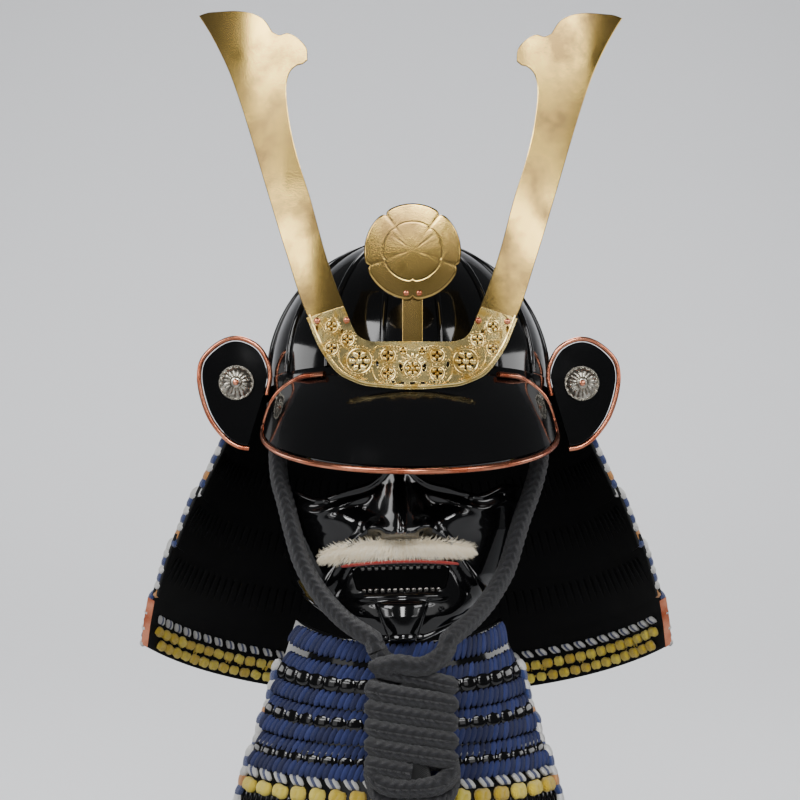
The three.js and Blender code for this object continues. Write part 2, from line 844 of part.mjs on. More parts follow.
function throatPoint(across, down, proud) {
  const halfWidth = lerp(throatTopHalfWidth, throatBottomHalfWidth, down);
  const turn = across * throatHalfAngle;
  const bow = (Math.cos(turn) - Math.cos(throatHalfAngle)) / (1 - Math.cos(throatHalfAngle));
  const spot = point(
    (halfWidth * Math.sin(turn)) / Math.sin(throatHalfAngle),
    -lerp(throatSide, throatFront, bow) - throatSpread * down,
    throatTop - throatHeight * down - throatDip * (1 - across * across) * (1 - 0.7 * down),
  );
  return spot.addScaledVector(point(Math.sin(turn), -Math.cos(turn), 0.15).normalize(), proud);
}

function makeThroatLame(number) {
  const overlap = number === 1 ? 0 : lameOverlap / throatHeight;
  const [top, bottom] = [throatLameEnds[number - 1] - overlap, throatLameEnds[number]];
  const place = (u, v, side) =>
    throatPoint(2 * u - 1, lerp(top, bottom, v), lameStep * (1 - v) * (number > 1) + side * lameWall);
  return wallBetween(place, throatColumns, [0, 1]);
}

function makeThroatLacing(number) {
  const overlap = number === 1 ? 0 : lameOverlap / throatHeight;
  const [top, bottom] = [throatLameEnds[number - 1] - overlap, throatLameEnds[number]];
  const place = (u, v, side) => {
    const share = throatLacingShare * v;
    const seat = lameStep * (1 - share) * (number > 1) + lameWall + 2 * clearance;
    const thickness = side * throatLacing * fromTable(lacingRows, v);
    const down = lerp(top, bottom, share);
    return throatPoint((2 * u - 1) * 0.97, down, seat + thickness);
  };
  return wallBetween(place, throatColumns, lacingRows.map((row) => row[0]));
}

// Knot of the chin cord: the outer form of its wound turns, one rounded ridge to a turn.
const knotTurns = 6;

function makeKnot() {
  const height = knotTop - knotBottom;
  const rows = shares(knotTurns * 2);
  const columns = shares(12);
  const middle = point(0, knotFront + knotThickness / 2, 0);
  const place = (u, v, side) => {
    const turn = u * 2 * Math.PI;
    const ridge = 1 - 0.1 * (Math.round(v * knotTurns * 2) % 2 === 0 ? 1 : 0);
    const share = side * ridge;
    return point(
      knotHalfWidth * share * Math.sin(turn),
      middle.y - (knotThickness / 2) * share * Math.cos(turn),
      knotTop - height * v,
    );
  };
  return solidRing(place, columns, rows);
}

// A solid of revolution-like rings with flat ends: place(u, v, 1) is its skin, place(u, v, 0) its axis.
function solidRing(place, columns, rows) {
  const around = columns.slice(0, -1);
  const positions = rows.flatMap((v) => around.flatMap((u) => place(u, v, 1).toArray()));
  const [count, last] = [around.length, rows.length - 1];
  const faces = [];
  for (let j = 0; j < last; j++)
    around.forEach((_, i) => {
      const [a, b] = [j * count + i, j * count + ((i + 1) % count)];
      faces.push(a, a + count, b, b, a + count, b + count);
    });
  [0, last].forEach((j) => {
    const centre = positions.length / 3;
    positions.push(...place(0, rows[j], 0).toArray());
    around.forEach((_, i) => {
      const [a, b] = [j * count + i, j * count + ((i + 1) % count)];
      faces.push(...(j === 0 ? [a, b, centre] : [b, a, centre]));
    });
  });
  const body = new THREE.BufferGeometry();
  body.setAttribute("position", new THREE.Float32BufferAttribute(positions, 3));
  body.setIndex(faces);
  return closedBody(body);
}

addPiece("bowl", makeBowl(), materials.blackLacquer);
addPiece("crown_ring", makeCrownRing(), materials.gilt);
addPiece("waist_band", makeWaistBand(), materials.blackLacquer);
addPiece("peak", makePeak(), materials.blackLacquer);
addPiece("peak_rim", makePeakRim(), materials.copper);
addPiece("horn_holder", makeHolder(), materials.paleGilt);
addPiece("crest_post", makeCrestPost(), materials.brass);
addPiece("crest_disc", makeCrestDisc(), materials.brass);

for (const [side, word] of [[-1, "left"], [1, "right"]]) {
  addPiece(`horn_${word}`, makeHorn(side), materials.brass);
  addPiece(`ear_${word}`, makeEar(side), materials.blackLacquer);
  addPiece(`ear_rim_${word}`, makeEarRim(side), materials.copper);
  const crest = addPiece(`ear_crest_${word}`, makeEarCrest(), materials.gilt);
  const crestSeat = earPoint(...crestPlace, 0, side);
  crest.position.set(crestSeat.x, crestSeat.y - clearance, crestSeat.z);
  [0.62, 0.9].forEach((share, i) => {
    const rivet = addPiece(`horn_rivet_${word}_${i + 1}`, makeRivet(), materials.copper);
    rivet.position.copy(sheetPoint(side * share * holderHalfWidth, holderBottom + holderHeight * 0.83, -2 * clearance));
  });
  addPiece(`edge_strip_${word}`, makeEdgeStrip(side), materials.copper);
  addPiece(`corner_plate_${word}`, makeCornerPlate(side), materials.gilt);
}

for (let i = 0; i < 2; i++) {
  const rivet = addPiece(`crest_rivet_${i + 1}`, makeRivet(), materials.copper);
  const up = crestCentreHeight - crestRadius * 0.86;
  const spot = sheetPoint(0, up, holderPlate - crestPlate - clearance);
  rivet.position.set((i - 0.5) * 10, spot.y, up);
}

for (let number = 1; number <= lameCount; number++) {
  addPiece(`neck_lame_${number}`, makeLame(number), materials.blackLacquer);
  if (number > 1) addPiece(`neck_lacing_${number}`, makeGuardLacing(number), materials.blueLacing);
}

addPiece("mask", makeMask(), materials.blackLacquer, maskGroup);
addPiece(
  "moustache",
  maskStrip(moustacheHalfWidth, moustacheBelow, moustacheHeight, moustacheThickness, 4, 16),
  materials.fur,
  maskGroup,
);
addPiece(
  "lip_felt",
  maskStrip(moustacheHalfWidth * 0.75, moustacheBelow + moustacheHeight * 0.67, feltHeight, feltThickness, 3, 10),
  materials.redFelt,
  maskGroup,
);

for (let number = 1; number <= throatLameCount; number++) {
  addPiece(`throat_lame_${number}`, makeThroatLame(number), materials.blackLacquer, throatGroup);
  addPiece(`throat_lacing_${number}`, makeThroatLacing(number), materials.blueLacing, throatGroup);
}

const cordPoints = (route) => route.map(([x, y, z]) => point(x, y, z));
addPiece("chin_cord_left", barAlong(cordPoints(leftCordRoute), cordRadius, cordSides, 12), materials.blackCord);
addPiece("chin_cord_right", barAlong(cordPoints(rightCordRoute), cordRadius, cordSides, 12), materials.blackCord);
addPiece("chin_knot", makeKnot(), materials.blackCord);
addPiece("cord_tail_left", barAlong(cordPoints(leftTailRoute), cordRadius, cordSides, 7), materials.blackCord);
addPiece("cord_tail_right", barAlong(cordPoints(rightTailRoute), cordRadius, cordSides, 7), materials.blackCord);

export default helmet;
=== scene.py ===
"""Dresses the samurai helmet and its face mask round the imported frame.

Shapes are worked out in millimetres, facing minus Y with Z up, and turned into metres when an object is made.
"""

import json
import logging
import math
from collections.abc import Callable, Sequence
from dataclasses import dataclass, field
from enum import Enum
from typing import NamedTuple

import bmesh
import bpy
import numpy as np
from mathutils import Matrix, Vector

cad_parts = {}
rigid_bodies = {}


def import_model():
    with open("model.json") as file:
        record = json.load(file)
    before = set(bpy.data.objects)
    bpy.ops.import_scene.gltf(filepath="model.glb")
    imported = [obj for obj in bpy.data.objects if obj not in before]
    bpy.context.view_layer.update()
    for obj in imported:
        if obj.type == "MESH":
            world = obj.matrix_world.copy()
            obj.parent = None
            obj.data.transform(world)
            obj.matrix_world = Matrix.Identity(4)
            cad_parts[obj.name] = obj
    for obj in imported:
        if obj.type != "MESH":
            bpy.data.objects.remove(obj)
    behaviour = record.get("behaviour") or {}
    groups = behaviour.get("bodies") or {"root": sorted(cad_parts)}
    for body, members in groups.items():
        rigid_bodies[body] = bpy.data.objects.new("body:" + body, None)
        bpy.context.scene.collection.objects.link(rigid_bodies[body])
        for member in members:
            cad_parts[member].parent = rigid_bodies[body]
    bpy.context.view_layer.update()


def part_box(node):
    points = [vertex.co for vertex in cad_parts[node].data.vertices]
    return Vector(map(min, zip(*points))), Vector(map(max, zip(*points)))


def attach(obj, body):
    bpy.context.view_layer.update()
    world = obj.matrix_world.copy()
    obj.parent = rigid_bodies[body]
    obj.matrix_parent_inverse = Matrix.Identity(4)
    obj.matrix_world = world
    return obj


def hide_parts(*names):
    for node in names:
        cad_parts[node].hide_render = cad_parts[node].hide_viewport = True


Array = np.ndarray
Socket = bpy.types.NodeSocket
METRES = 0.001
TURN = 2 * math.pi
NO_TRIANGLES = np.zeros((0, 3), int)
NO_QUADS = np.zeros((0, 4), int)
TINY = 1e-9
CURVE_STEPS = 40
POLE_GAP = 0.12
ROUND_LAY = 100.0
BALL_LAY = 10.0
FRAME_STEP = 1e-3
FIRST_CUT = 0.37
MERGE_WITHIN = 1e-3
UP = np.array([0.0, 0.0, 1.0])
FORWARD = np.array([0.0, -1.0, 0.0])
RIGHT = np.array([1.0, 0.0, 0.0])
log = logging.getLogger("helmet")


class Side(Enum):
    """The two sides of the helmet, as seen in front of it."""

    LEFT = -1
    RIGHT = 1

    @property
    def word(self) -> str:
        """The side's word in the names of pieces."""
        return self.name.lower()


def unit(vectors: Array) -> Array:
    """Scales vectors on the last axis to length one."""
    return vectors / np.maximum(np.linalg.norm(vectors, axis=-1, keepdims=True), TINY)


def lerp(start: Array | float, end: Array | float, share: Array | float) -> Array | float:
    """The value a share of the way from start to end."""
    return start + (end - start) * share


def bump(distance: Array, width: Array | float) -> Array:
    """A smooth hill of height one, exp(-(distance / width)^2)."""
    return np.exp(-((distance / width) ** 2))


def soft_step(value: Array, low: float, high: float) -> Array:
    """Rises smoothly from 0 at low to 1 at high."""
    share = np.clip((value - low) / (high - low), 0, 1)
    return share * share * (3 - 2 * share)


def stack(*parts: Array | float) -> Array:
    """Points on the last axis from their coordinates, which may be arrays or numbers."""
    return np.stack(np.broadcast_arrays(*parts), axis=-1).astype(float)


def distances(route: Array) -> Array:
    """How far along a route each of its points is."""
    return np.concatenate([[0], np.cumsum(np.linalg.norm(np.diff(route, axis=0), axis=1))])


def from_table(table: Sequence[Sequence[float]], share: Array) -> Array:
    """Reads a table of [share, value] rows with straight lines between them."""
    rows = np.asarray(table, float)
    return np.interp(share, rows[:, 0], rows[:, 1])


def smooth_route(points: Sequence[Sequence[float]] | Array, count: int, closed: bool = False) -> Array:
    """A centripetal Catmull-Rom curve through points, at even steps of length.

    Args:
        points: Rows of coordinates, two or three columns.
        count: How many points the result has.
        closed: Whether the last point joins the first.

    Returns:
        The points of the curve; a closed one doesn't repeat its first point.
    """
    spots = np.asarray(points, float)
    if closed:
        spots = np.vstack([spots[-1], spots, spots[:2]])
    else:
        spots = np.vstack([2 * spots[0] - spots[1], spots, 2 * spots[-1] - spots[-2]])
    knots = np.concatenate([[0], np.cumsum(np.sqrt(np.linalg.norm(np.diff(spots, axis=0), axis=1)) + 1e-6)])
    fine = np.linspace(knots[1], knots[-2], CURVE_STEPS * len(spots))
    i = np.clip(np.searchsorted(knots, fine, side="right") - 1, 1, len(spots) - 3)

    def mix(a: Array, b: Array, t0: Array, t1: Array) -> Array:
        """Blends two rows of points between two knots."""
        return (a * (t1 - fine)[:, None] + b * (fine - t0)[:, None]) / (t1 - t0)[:, None]

    t = [knots[i + k] for k in (-1, 0, 1, 2)]
    p = [spots[i + k] for k in (-1, 0, 1, 2)]
    a = [mix(p[k], p[k + 1], t[k], t[k + 1]) for k in range(3)]
    b = [mix(a[k], a[k + 1], t[k], t[k + 2]) for k in range(2)]
    curve = mix(b[0], b[1], t[1], t[2])
    return even_steps(curve, count + 1 if closed else count)[: count if closed else None]


def even_steps(curve: Array, count: int) -> Array:
    """Resamples a route at even steps of length."""
    along = distances(curve)
    wanted = np.linspace(0, along[-1], count)
    return np.stack([np.interp(wanted, along, column) for column in curve.T], axis=-1)


@dataclass
class Shape:
    """A closed surface as arrays: corners in millimetres, faces, pattern coordinates and a colour pick.

    Attributes:
        spots: Corner places, one row each.
        quads: Four-sided faces.
        triangles: Three-sided faces.
        lay: Pattern coordinates in millimetres, along and around or across and up.
        pick: A number from 0 to 1 that chooses among a finish's tones.
    """

    spots: Array
    quads: Array
    triangles: Array = field(default_factory=lambda: NO_TRIANGLES)
    lay: Array | None = None
    pick: Array | None = None

    def __post_init__(self) -> None:
        """Fills in plain pattern coordinates and picks."""
        if self.lay is None:
            self.lay = self.spots[:, [0, 2]]
        if self.pick is None:
            self.pick = np.zeros(len(self.spots))

    def outwards(self) -> "Shape":
        """Turns every face round if the enclosed volume comes out negative."""
        fans = np.vstack([self.quads[:, [0, 1, 2]], self.quads[:, [0, 2, 3]], self.triangles]).astype(int)
        a, b, c = (self.spots[fans[:, k]] for k in range(3))
        if np.einsum("ij,ij->i", a, np.cross(b, c)).sum() < 0:
            self.quads = self.quads[:, ::-1]
            self.triangles = self.triangles[:, ::-1]
        return self

    def moved(self, change: Callable[[Array], Array]) -> "Shape":
        """The same surface with its corners put through a function."""
        return Shape(change(self.spots), self.quads, self.triangles, self.lay, self.pick)


def joined(shapes: Sequence[Shape]) -> Shape:
    """One shape that holds several."""
    starts = np.cumsum([0] + [len(s.spots) for s in shapes])
    return Shape(
        np.vstack([s.spots for s in shapes]),
        np.vstack([s.quads.reshape(-1, 4) + n for s, n in zip(shapes, starts)]),
        np.vstack([s.triangles.reshape(-1, 3) + n for s, n in zip(shapes, starts)]),
        np.vstack([s.lay for s in shapes]),
        np.concatenate([s.pick for s in shapes]),
    )


def skin(rings: Array, lay: Array | None = None, closed: bool = False) -> Shape:
    """A tube-like skin over rings of points, with a fan over each end unless its ends meet.

    Args:
        rings: Points as (rings, points round, 3).
        lay: Pattern coordinates as (rings, points round, 2).
        closed: Whether the last ring joins the first.

    Returns:
        The closed surface, facing outwards.
    """
    count, around = rings.shape[:2]
    i, j = np.meshgrid(np.arange(count if closed else count - 1), np.arange(around), indexing="ij")
    i, j = i.ravel(), j.ravel()
    below, beside = (i + 1) % count, (j + 1) % around
    corners = [i * around + j, i * around + beside, below * around + beside, below * around + j]
    quads = np.stack(corners, axis=1)
    spots = rings.reshape(-1, 3)
    flat = None if lay is None else lay.reshape(-1, 2)
    if closed:
        return Shape(spots, quads, lay=flat).outwards()
    first, last = len(spots), len(spots) + 1
    k = np.arange(around)
    end = (count - 1) * around
    fans = np.vstack(
        [
            np.stack([np.full(around, first), (k + 1) % around, k], axis=1),
            np.stack([np.full(around, last), end + k, end + (k + 1) % around], axis=1),
        ]
    )
    spots = np.vstack([spots, rings[0].mean(axis=0), rings[-1].mean(axis=0)])
    if flat is not None:
        flat = np.vstack([flat, lay[0].mean(axis=0), lay[-1].mean(axis=0)])
    return Shape(spots, quads, fans, flat).outwards()


def wall(outer: Array, inner: Array, ring: bool = False, keep: Array | None = None) -> Shape:
    """A wall between two grids of points, closed along every edge.

    Args:
        outer: Points of the shown face as (rows, columns, 3).
        inner: Points of the other face.
        ring: Whether the last column joins the first.
        keep: Which cells of the grid are kept; the others are openings.

    Returns:
        The closed surface, facing outwards.
    """
    rows, columns = outer.shape[:2]
    if keep is None:
        keep = np.ones((rows - 1, columns if ring else columns - 1), bool)
    i, j = np.nonzero(keep)
    beside = (j + 1) % columns
    corners = [i * columns + j, i * columns + beside, (i + 1) * columns + beside, (i + 1) * columns + j]
    count = rows * columns
    framed = np.pad(keep, 1)
    if ring:
        framed[1:-1, 0], framed[1:-1, -1] = keep[:, -1], keep[:, 0]
    open_sides = [~framed[i, j + 1], ~framed[i + 1, j + 2], ~framed[i + 2, j + 1], ~framed[i + 1, j]]
    quads = [np.stack(corners, axis=1), np.stack(corners[::-1], axis=1) + count]
    for side, is_open in enumerate(open_sides):
        a, b = corners[side][is_open], corners[(side + 1) % 4][is_open]
        quads.append(np.stack([b, a, a + count, b + count], axis=1))
    faces = np.vstack(quads)
    spots = np.vstack([outer.reshape(-1, 3), inner.reshape(-1, 3)])
    along = np.linalg.norm(np.diff(outer, axis=1, prepend=outer[:, :1]), axis=2).cumsum(axis=1)
    down = np.linalg.norm(np.diff(outer, axis=0, prepend=outer[:1]), axis=2).cumsum(axis=0)
    lay = np.tile(np.stack([along, down], axis=-1).reshape(-1, 2), (2, 1))
    used, faces = np.unique(faces, return_inverse=True)
    return Shape(spots[used], faces.reshape(-1, 4), lay=lay[used]).outwards()


def tube(
    route: Array, radius: Array | float, sides: int = 16, closed: bool = False, facing: Array = FORWARD
) -> Shape:
    """A round bar along a route, its sections set square to the route.

    Args:
        route: Its middle line.
        radius: One radius, one for each point of the route, or a grid of them along and round it.
        sides: Corners round a section.
        closed: Whether the last section joins the first.
        facing: The direction that one side of each section faces.

    Returns:
        The bar's surface.
    """
    ahead = np.roll(route, -1, axis=0) - np.roll(route, 1, axis=0)
    if not closed:
        ahead[0], ahead[-1] = route[1] - route[0], route[-1] - route[-2]
    ahead = unit(ahead)
    side = unit(np.cross(ahead, facing))
    front = np.cross(side, ahead)
    turn = np.arange(sides) / sides * TURN
    radii = np.asarray(radius, float)
    radii = np.broadcast_to(radii[:, None] if radii.ndim == 1 else radii, (len(route), sides))
    rings = route[:, None] + radii[..., None] * (
        np.cos(turn)[None, :, None] * side[:, None] + np.sin(turn)[None, :, None] * front[:, None]
    )
    lay = stack(distances(route)[:, None], (turn / TURN)[None, :] * ROUND_LAY)
    return skin(rings, lay, closed)


def ball(columns: int = 10, rows: int = 8, square: float = 1.0) -> Shape:
    """A unit ball; square below 1 makes it boxier, by raising the sines and cosines to that power."""
    tilt = np.linspace(POLE_GAP, math.pi - POLE_GAP, rows)[:, None]
    turn = (np.arange(columns) / columns * TURN)[None, :]

    def power(value: Array) -> Array:
        """Keeps the sign and raises the size to the power."""
        return np.sign(value) * np.abs(value) ** square

    wide = power(np.sin(tilt))
    rings = stack(wide * power(np.cos(turn)), wide * power(np.sin(turn)), power(np.cos(tilt)))
    return skin(rings, rings[..., [0, 2]] * BALL_LAY)


def turned(profile: Sequence[Sequence[float]], segments: int = 32) -> Shape:
    """A body turned about +Z from [radius, height] rows, closed at both ends."""
    rows = np.asarray(profile, float)
    turn = (np.arange(segments) / segments * TURN)[None, :]
    return skin(stack(rows[:, :1] * np.cos(turn), rows[:, :1] * np.sin(turn), rows[:, 1:2]))


def stamp(
    base: Shape, places: Array, across: Array, up: Array, out: Array, sizes: Array, picks: Array | None = None
) -> Shape:
    """Copies of a shape, one at each place.

    Args:
        base: The shape to copy, its x, y and z along across, up and out.
        places: Centres, one row for each copy.
        across: Direction of the shape's x for each copy.
        up: Direction of the shape's y.
        out: Direction of the shape's z.
        sizes: Scale along the three directions, one row for each copy or one for all.
        picks: Colour pick of each copy.

    Returns:
        All the copies as one shape.
    """
    count, corners = len(places), len(base.spots)
    scaled = base.spots[None] * np.broadcast_to(sizes, (count, 3))[:, None]
    ways = [np.broadcast_to(way, (count, 3))[:, None] for way in (across, up, out)]
    spots = places[:, None] + sum(scaled[..., k, None] * way for k, way in enumerate(ways))
    shift = (np.arange(count) * corners)[:, None, None]
    return Shape(
        spots.reshape(-1, 3),
        (base.quads[None] + shift).reshape(-1, 4),
        (base.triangles[None] + shift).reshape(-1, 3),
        np.tile(base.lay, (count, 1)),
        np.repeat(np.zeros(count) if picks is None else picks, corners),
    ).outwards()


def surface_frame(
    place: Callable[[Array, Array], Array], u: Array, v: Array
) -> tuple[Array, Array, Array, Array]:
    """Places on a surface with the directions across, up and out of it there.

    Args:
        place: Gives the surface's points from u and v, with v running down.
        u: Where across.
        v: Where down.

    Returns:
        The places, and unit vectors across, up and outwards.
    """
    spots = place(u, v)
    across = unit(place(u + FRAME_STEP, v) - place(u - FRAME_STEP, v))
    up = unit(place(u, v - FRAME_STEP) - place(u, v + FRAME_STEP))
    out = unit(np.cross(across, up))
    return spots, across, np.cross(out, across), out


def leaning(across: Array, up: Array, degrees: Array | float) -> tuple[Array, Array]:
    """Turns the across and up directions by an angle within their plane."""
    turn = np.radians(np.broadcast_to(degrees, across.shape[:1]))[:, None]
    return np.cos(turn) * across + np.sin(turn) * up, np.cos(turn) * up - np.sin(turn) * across


def outline_mesh(outlines: Sequence[Array], thickness: float, edge: float) -> bpy.types.Mesh:
    """A flat plate as a mesh, cut from an outline and its holes and centred on height 0.

    Args:
        outlines: The outside and then the holes, as rows of (across, up).
        thickness: Its full thickness.
        edge: Radius of its rounded edges.

    Returns:
        The mesh.
    """
    curve = bpy.data.curves.new("outline", "CURVE")
    curve.dimensions = "2D"
    curve.fill_mode = "BOTH"
    curve.extrude = thickness / 2 - edge
    curve.bevel_depth = edge
    curve.bevel_resolution = 1
    curve.offset = -edge
    for outline in outlines:
        spline = curve.splines.new("POLY")
        spline.points.add(len(outline) - 1)
        rows = np.zeros((len(outline), 4))
        rows[:, :2], rows[:, 3] = outline, 1
        spline.points.foreach_set("co", rows.ravel())
        spline.use_cyclic_u = True
    holder = bpy.data.objects.new("outline", curve)
    bpy.context.scene.collection.objects.link(holder)
    mesh = bpy.data.meshes.new_from_object(holder.evaluated_get(bpy.context.evaluated_depsgraph_get()))
    bpy.data.objects.remove(holder)
    bpy.data.curves.remove(curve)
    return mesh


def cut_plate(
    outlines: Sequence[Array], thickness: float, edge: float, cell: tuple[float, float], bend: Callable
) -> Shape:
    """A flat plate cut from outlines, with rounded edges, cut up into cells and then bent.

    Args:
        outlines: The outside and then the holes, as rows of (across, up).
        thickness: Its full thickness.
        edge: Radius of its rounded edges.
        cell: Width and height of the cells that it is cut into before the bending, 0 for no cuts.
        bend: Gives points from across, up and depth, with depth 0 at the front face.

    Returns:
        The bent plate.
    """
    mesh = outline_mesh(outlines, thickness, edge)
    work = bmesh.new()
    work.from_mesh(mesh)
    bmesh.ops.remove_doubles(work, verts=work.verts, dist=MERGE_WITHIN)
    flat = outlines[0]
    for axis in (0, 1):
        if cell[axis] <= 0:
            continue
        low, high = flat[:, axis].min(), flat[:, axis].max()
        for at in np.arange(low + cell[axis] * FIRST_CUT, high, cell[axis]):
            spot, way = [0.0, 0.0, 0.0], [0.0, 0.0, 0.0]
            spot[axis], way[axis] = at, 1.0
            everything = work.verts[:] + work.edges[:] + work.faces[:]
            bmesh.ops.bisect_plane(work, geom=everything, dist=MERGE_WITHIN / 10, plane_co=spot, plane_no=way)
    bmesh.ops.triangulate(work, faces=work.faces[:])
    work.to_mesh(mesh)
    work.free()
    spots = np.zeros(len(mesh.vertices) * 3)
    mesh.vertices.foreach_get("co", spots)
    corners = np.zeros(len(mesh.loops), int)
    mesh.loops.foreach_get("vertex_index", corners)
    bpy.data.meshes.remove(mesh)
    spots = spots.reshape(-1, 3)
    bent = bend(spots[:, 0], spots[:, 1], thickness / 2 - spots[:, 2])
    return Shape(bent, NO_QUADS, corners.reshape(-1, 3), lay=spots[:, :2].copy()).outwards()


def linear(hex_colour: str) -> tuple[float, float, float, float]:
    """A colour written as sRGB hex, as linear red, green, blue and one."""
    parts = [int(hex_colour[i : i + 2], 16) / 255 for i in (1, 3, 5)]
    flat = [p / 12.92 if p <= 0.04045 else ((p + 0.055) / 1.055) ** 2.4 for p in parts]
    return flat[0], flat[1], flat[2], 1.0


class Nodes:
    """A material's node tree with one way to add a node to it."""

    def __init__(self, name: str) -> None:
        """Starts an empty material that holds only its surface and its output."""
        self.material = bpy.data.materials.new(name)
        self.material.use_nodes = True
        self.tree = self.material.node_tree
        self.tree.nodes.clear()
        output = self.tree.nodes.new("ShaderNodeOutputMaterial")
        self.surface = self.tree.nodes.new("ShaderNodeBsdfPrincipled")
        self.tree.links.new(self.surface.outputs[0], output.inputs[0])

    def add(self, kind: str, inputs: dict | None = None, **settings: object) -> bpy.types.Node:
        """Adds a node.

        Args:
            kind: The node's type, without its ShaderNode prefix.
            inputs: A value or a linked output socket for each named or numbered input.
            settings: Attributes of the node.

        Returns:
            The new node.
        """
        node = self.tree.nodes.new("ShaderNode" + kind)
        for key, value in settings.items():
            setattr(node, key, value)
        self.set(node, inputs or {})
        return node

    def set(self, node: bpy.types.Node, inputs: dict) -> None:
        """Links or sets a node's inputs."""
        for key, value in inputs.items():
            if isinstance(value, Socket):
                self.tree.links.new(value, node.inputs[key])
            else:
                node.inputs[key].default_value = value

    def finished(self, inputs: dict) -> bpy.types.Material:
        """The material, once its surface's inputs are set."""
        self.set(self.surface, inputs)
        return self.material

    def place(self) -> Socket:
        """Object coordinates in metres."""
        return self.add("TexCoord").outputs["Object"]

    def lay(self) -> Socket:
        """The pattern coordinates, in millimetres, that each new mesh carries."""
        return self.add("Attribute", attribute_name="lay").outputs["Vector"]

    def noise(self, where: Socket, size: float, detail: float = 3.0) -> Socket:
        """Noise whose spots are about as many units wide as size says."""
        return self.add("TexNoise", {"Vector": where, "Scale": 1 / size, "Detail": detail}).outputs[0]

    def between(self, share: Socket, stops: Sequence[tuple[float, str]], steps: bool = False) -> Socket:
        """A colour chosen by a share along [position, hex] stops, blended or in steps."""
        ramp = self.add("ValToRGB", {0: share})
        ramp.color_ramp.interpolation = "CONSTANT" if steps else "LINEAR"
        points = ramp.color_ramp.elements
        while len(points) < len(stops):
            points.new(1.0)
        for point, (at, colour) in zip(points, stops):
            point.position, point.color = at, linear(colour)
        return ramp.outputs[0]

    def scaled(self, share: Socket, low: float, high: float) -> Socket:
        """Noise, which mostly lies between 0.3 and 0.7, spread over low to high."""
        return self.add("MapRange", {0: share, 1: 0.3, 2: 0.7, 3: low, 4: high}).outputs[0]

    def relief(self, height: Socket, depth: float, strength: float = 1.0) -> Socket:
        """A bump as deep as depth, in metres."""
        return self.add("Bump", {"Strength": strength, "Distance": depth, "Height": height}).outputs[0]


@dataclass(frozen=True)
class Lacquer:
    """Black lacquer brushed on iron and polished; the eye sees pale reflections with faint waves.

    Attributes:
        name: The material's name.
        colour: Colour of the lacquer under its gloss.
        roughness: Roughness where it is polished best and least.
        wave: Depth of the brush waves, in metres.
        dull: Roughness added on unpolished inner faces, whose pick is 1.
    """

    name: str = "mirror_lacquer"
    colour: str = "#080809"
    roughness: tuple[float, float] = (0.05, 0.12)
    wave: float = 0.00005
    dull: float = 0.5

    def make(self) -> bpy.types.Material:
        """Builds the material."""
        n = Nodes(self.name)
        place = n.place()
        inside = n.add("Attribute", attribute_name="pick").outputs["Fac"]
        gloss = n.scaled(n.noise(place, 0.03), *self.roughness)
        rough = n.add("Math", {0: inside, 1: self.dull, 2: gloss}, operation="MULTIPLY_ADD").outputs[0]
        shine = n.add("MapRange", {0: inside, 3: 0.5, 4: 0.1}).outputs[0]
        return n.finished({
            "Base Color": linear(self.colour),
            "Roughness": rough,
            "Specular IOR Level": shine,
            "IOR": 1.5,
            "Normal": n.relief(n.noise(place, 0.012, 1.0), self.wave),
        })


@dataclass(frozen=True)
class Metal:
    """A polished or cast metal; the eye sees its colour in the reflections, with darker tarnish in patches.

    Attributes:
        bright: Colour where it is rubbed clean.
        dull: Colour of the tarnish.
        roughness: Roughness of the clean and of the dull metal.
        grain: Depth of its fine grain, in metres.
        patch: Size of the tarnish patches, in metres.
    """

    name: str
    bright: str
    dull: str
    roughness: tuple[float, float]
    grain: float = 0.00002
    patch: float = 0.02

    def make(self) -> bpy.types.Material:
        """Builds the material."""
        n = Nodes(self.name)
        place = n.place()
        stain = n.noise(place, self.patch, 5.0)
        return n.finished({
            "Base Color": n.between(stain, [(0.35, self.dull), (0.58, self.bright)]),
            "Metallic": 1.0,
            "Roughness": n.scaled(stain, self.roughness[1], self.roughness[0]),
            "Normal": n.relief(n.noise(place, 0.0012, 2.0), self.grain),
        })


WAVES_PER_UNIT = 0.314


@dataclass(frozen=True)
class Thread:
    """Braided or twisted thread; the eye sees fine slanting strands and a soft sheen.

    Attributes:
        stops: Tones along the pick of each hump, as [position, hex].
        strand: Width of one strand, in millimetres.
        slant: How far the strands lean, as across over along.
        depth: Depth of the grooves between strands, in metres.
        steps: Whether tones change abruptly from hump to hump.
        sheen: Strength of the soft light along its edges.
        roughness: Roughness of the thread.
    """

    name: str
    stops: tuple[tuple[float, str], ...]
    strand: float = 0.7
    slant: float = 0.6
    depth: float = 0.0002
    steps: bool = False
    sheen: float = 0.4
    roughness: float = 0.7

    def make(self) -> bpy.types.Material:
        """Builds the material."""
        n = Nodes(self.name)
        lay = n.lay()
        tone = n.add("Attribute", attribute_name="pick").outputs["Fac"]
        blotch = n.noise(n.place(), 0.004)
        mixed = n.add("Math", {0: tone, 1: n.scaled(blotch, -0.06, 0.06)}, operation="ADD").outputs[0]
        leaned = n.add("Mapping", {"Vector": lay, "Rotation": (0.0, 0.0, math.atan(self.slant))}).outputs[0]
        scale = WAVES_PER_UNIT / self.strand
        strands = n.add("TexWave", {"Vector": leaned, "Scale": scale, "Distortion": 0.6, "Detail": 1.0})
        return n.finished({
            "Base Color": n.between(tone if self.steps else mixed, self.stops, self.steps),
            "Roughness": self.roughness,
            "Sheen Weight": self.sheen,
            "Sheen Roughness": 0.4,
            "Normal": n.relief(strands.outputs["Fac"], self.depth),
        })


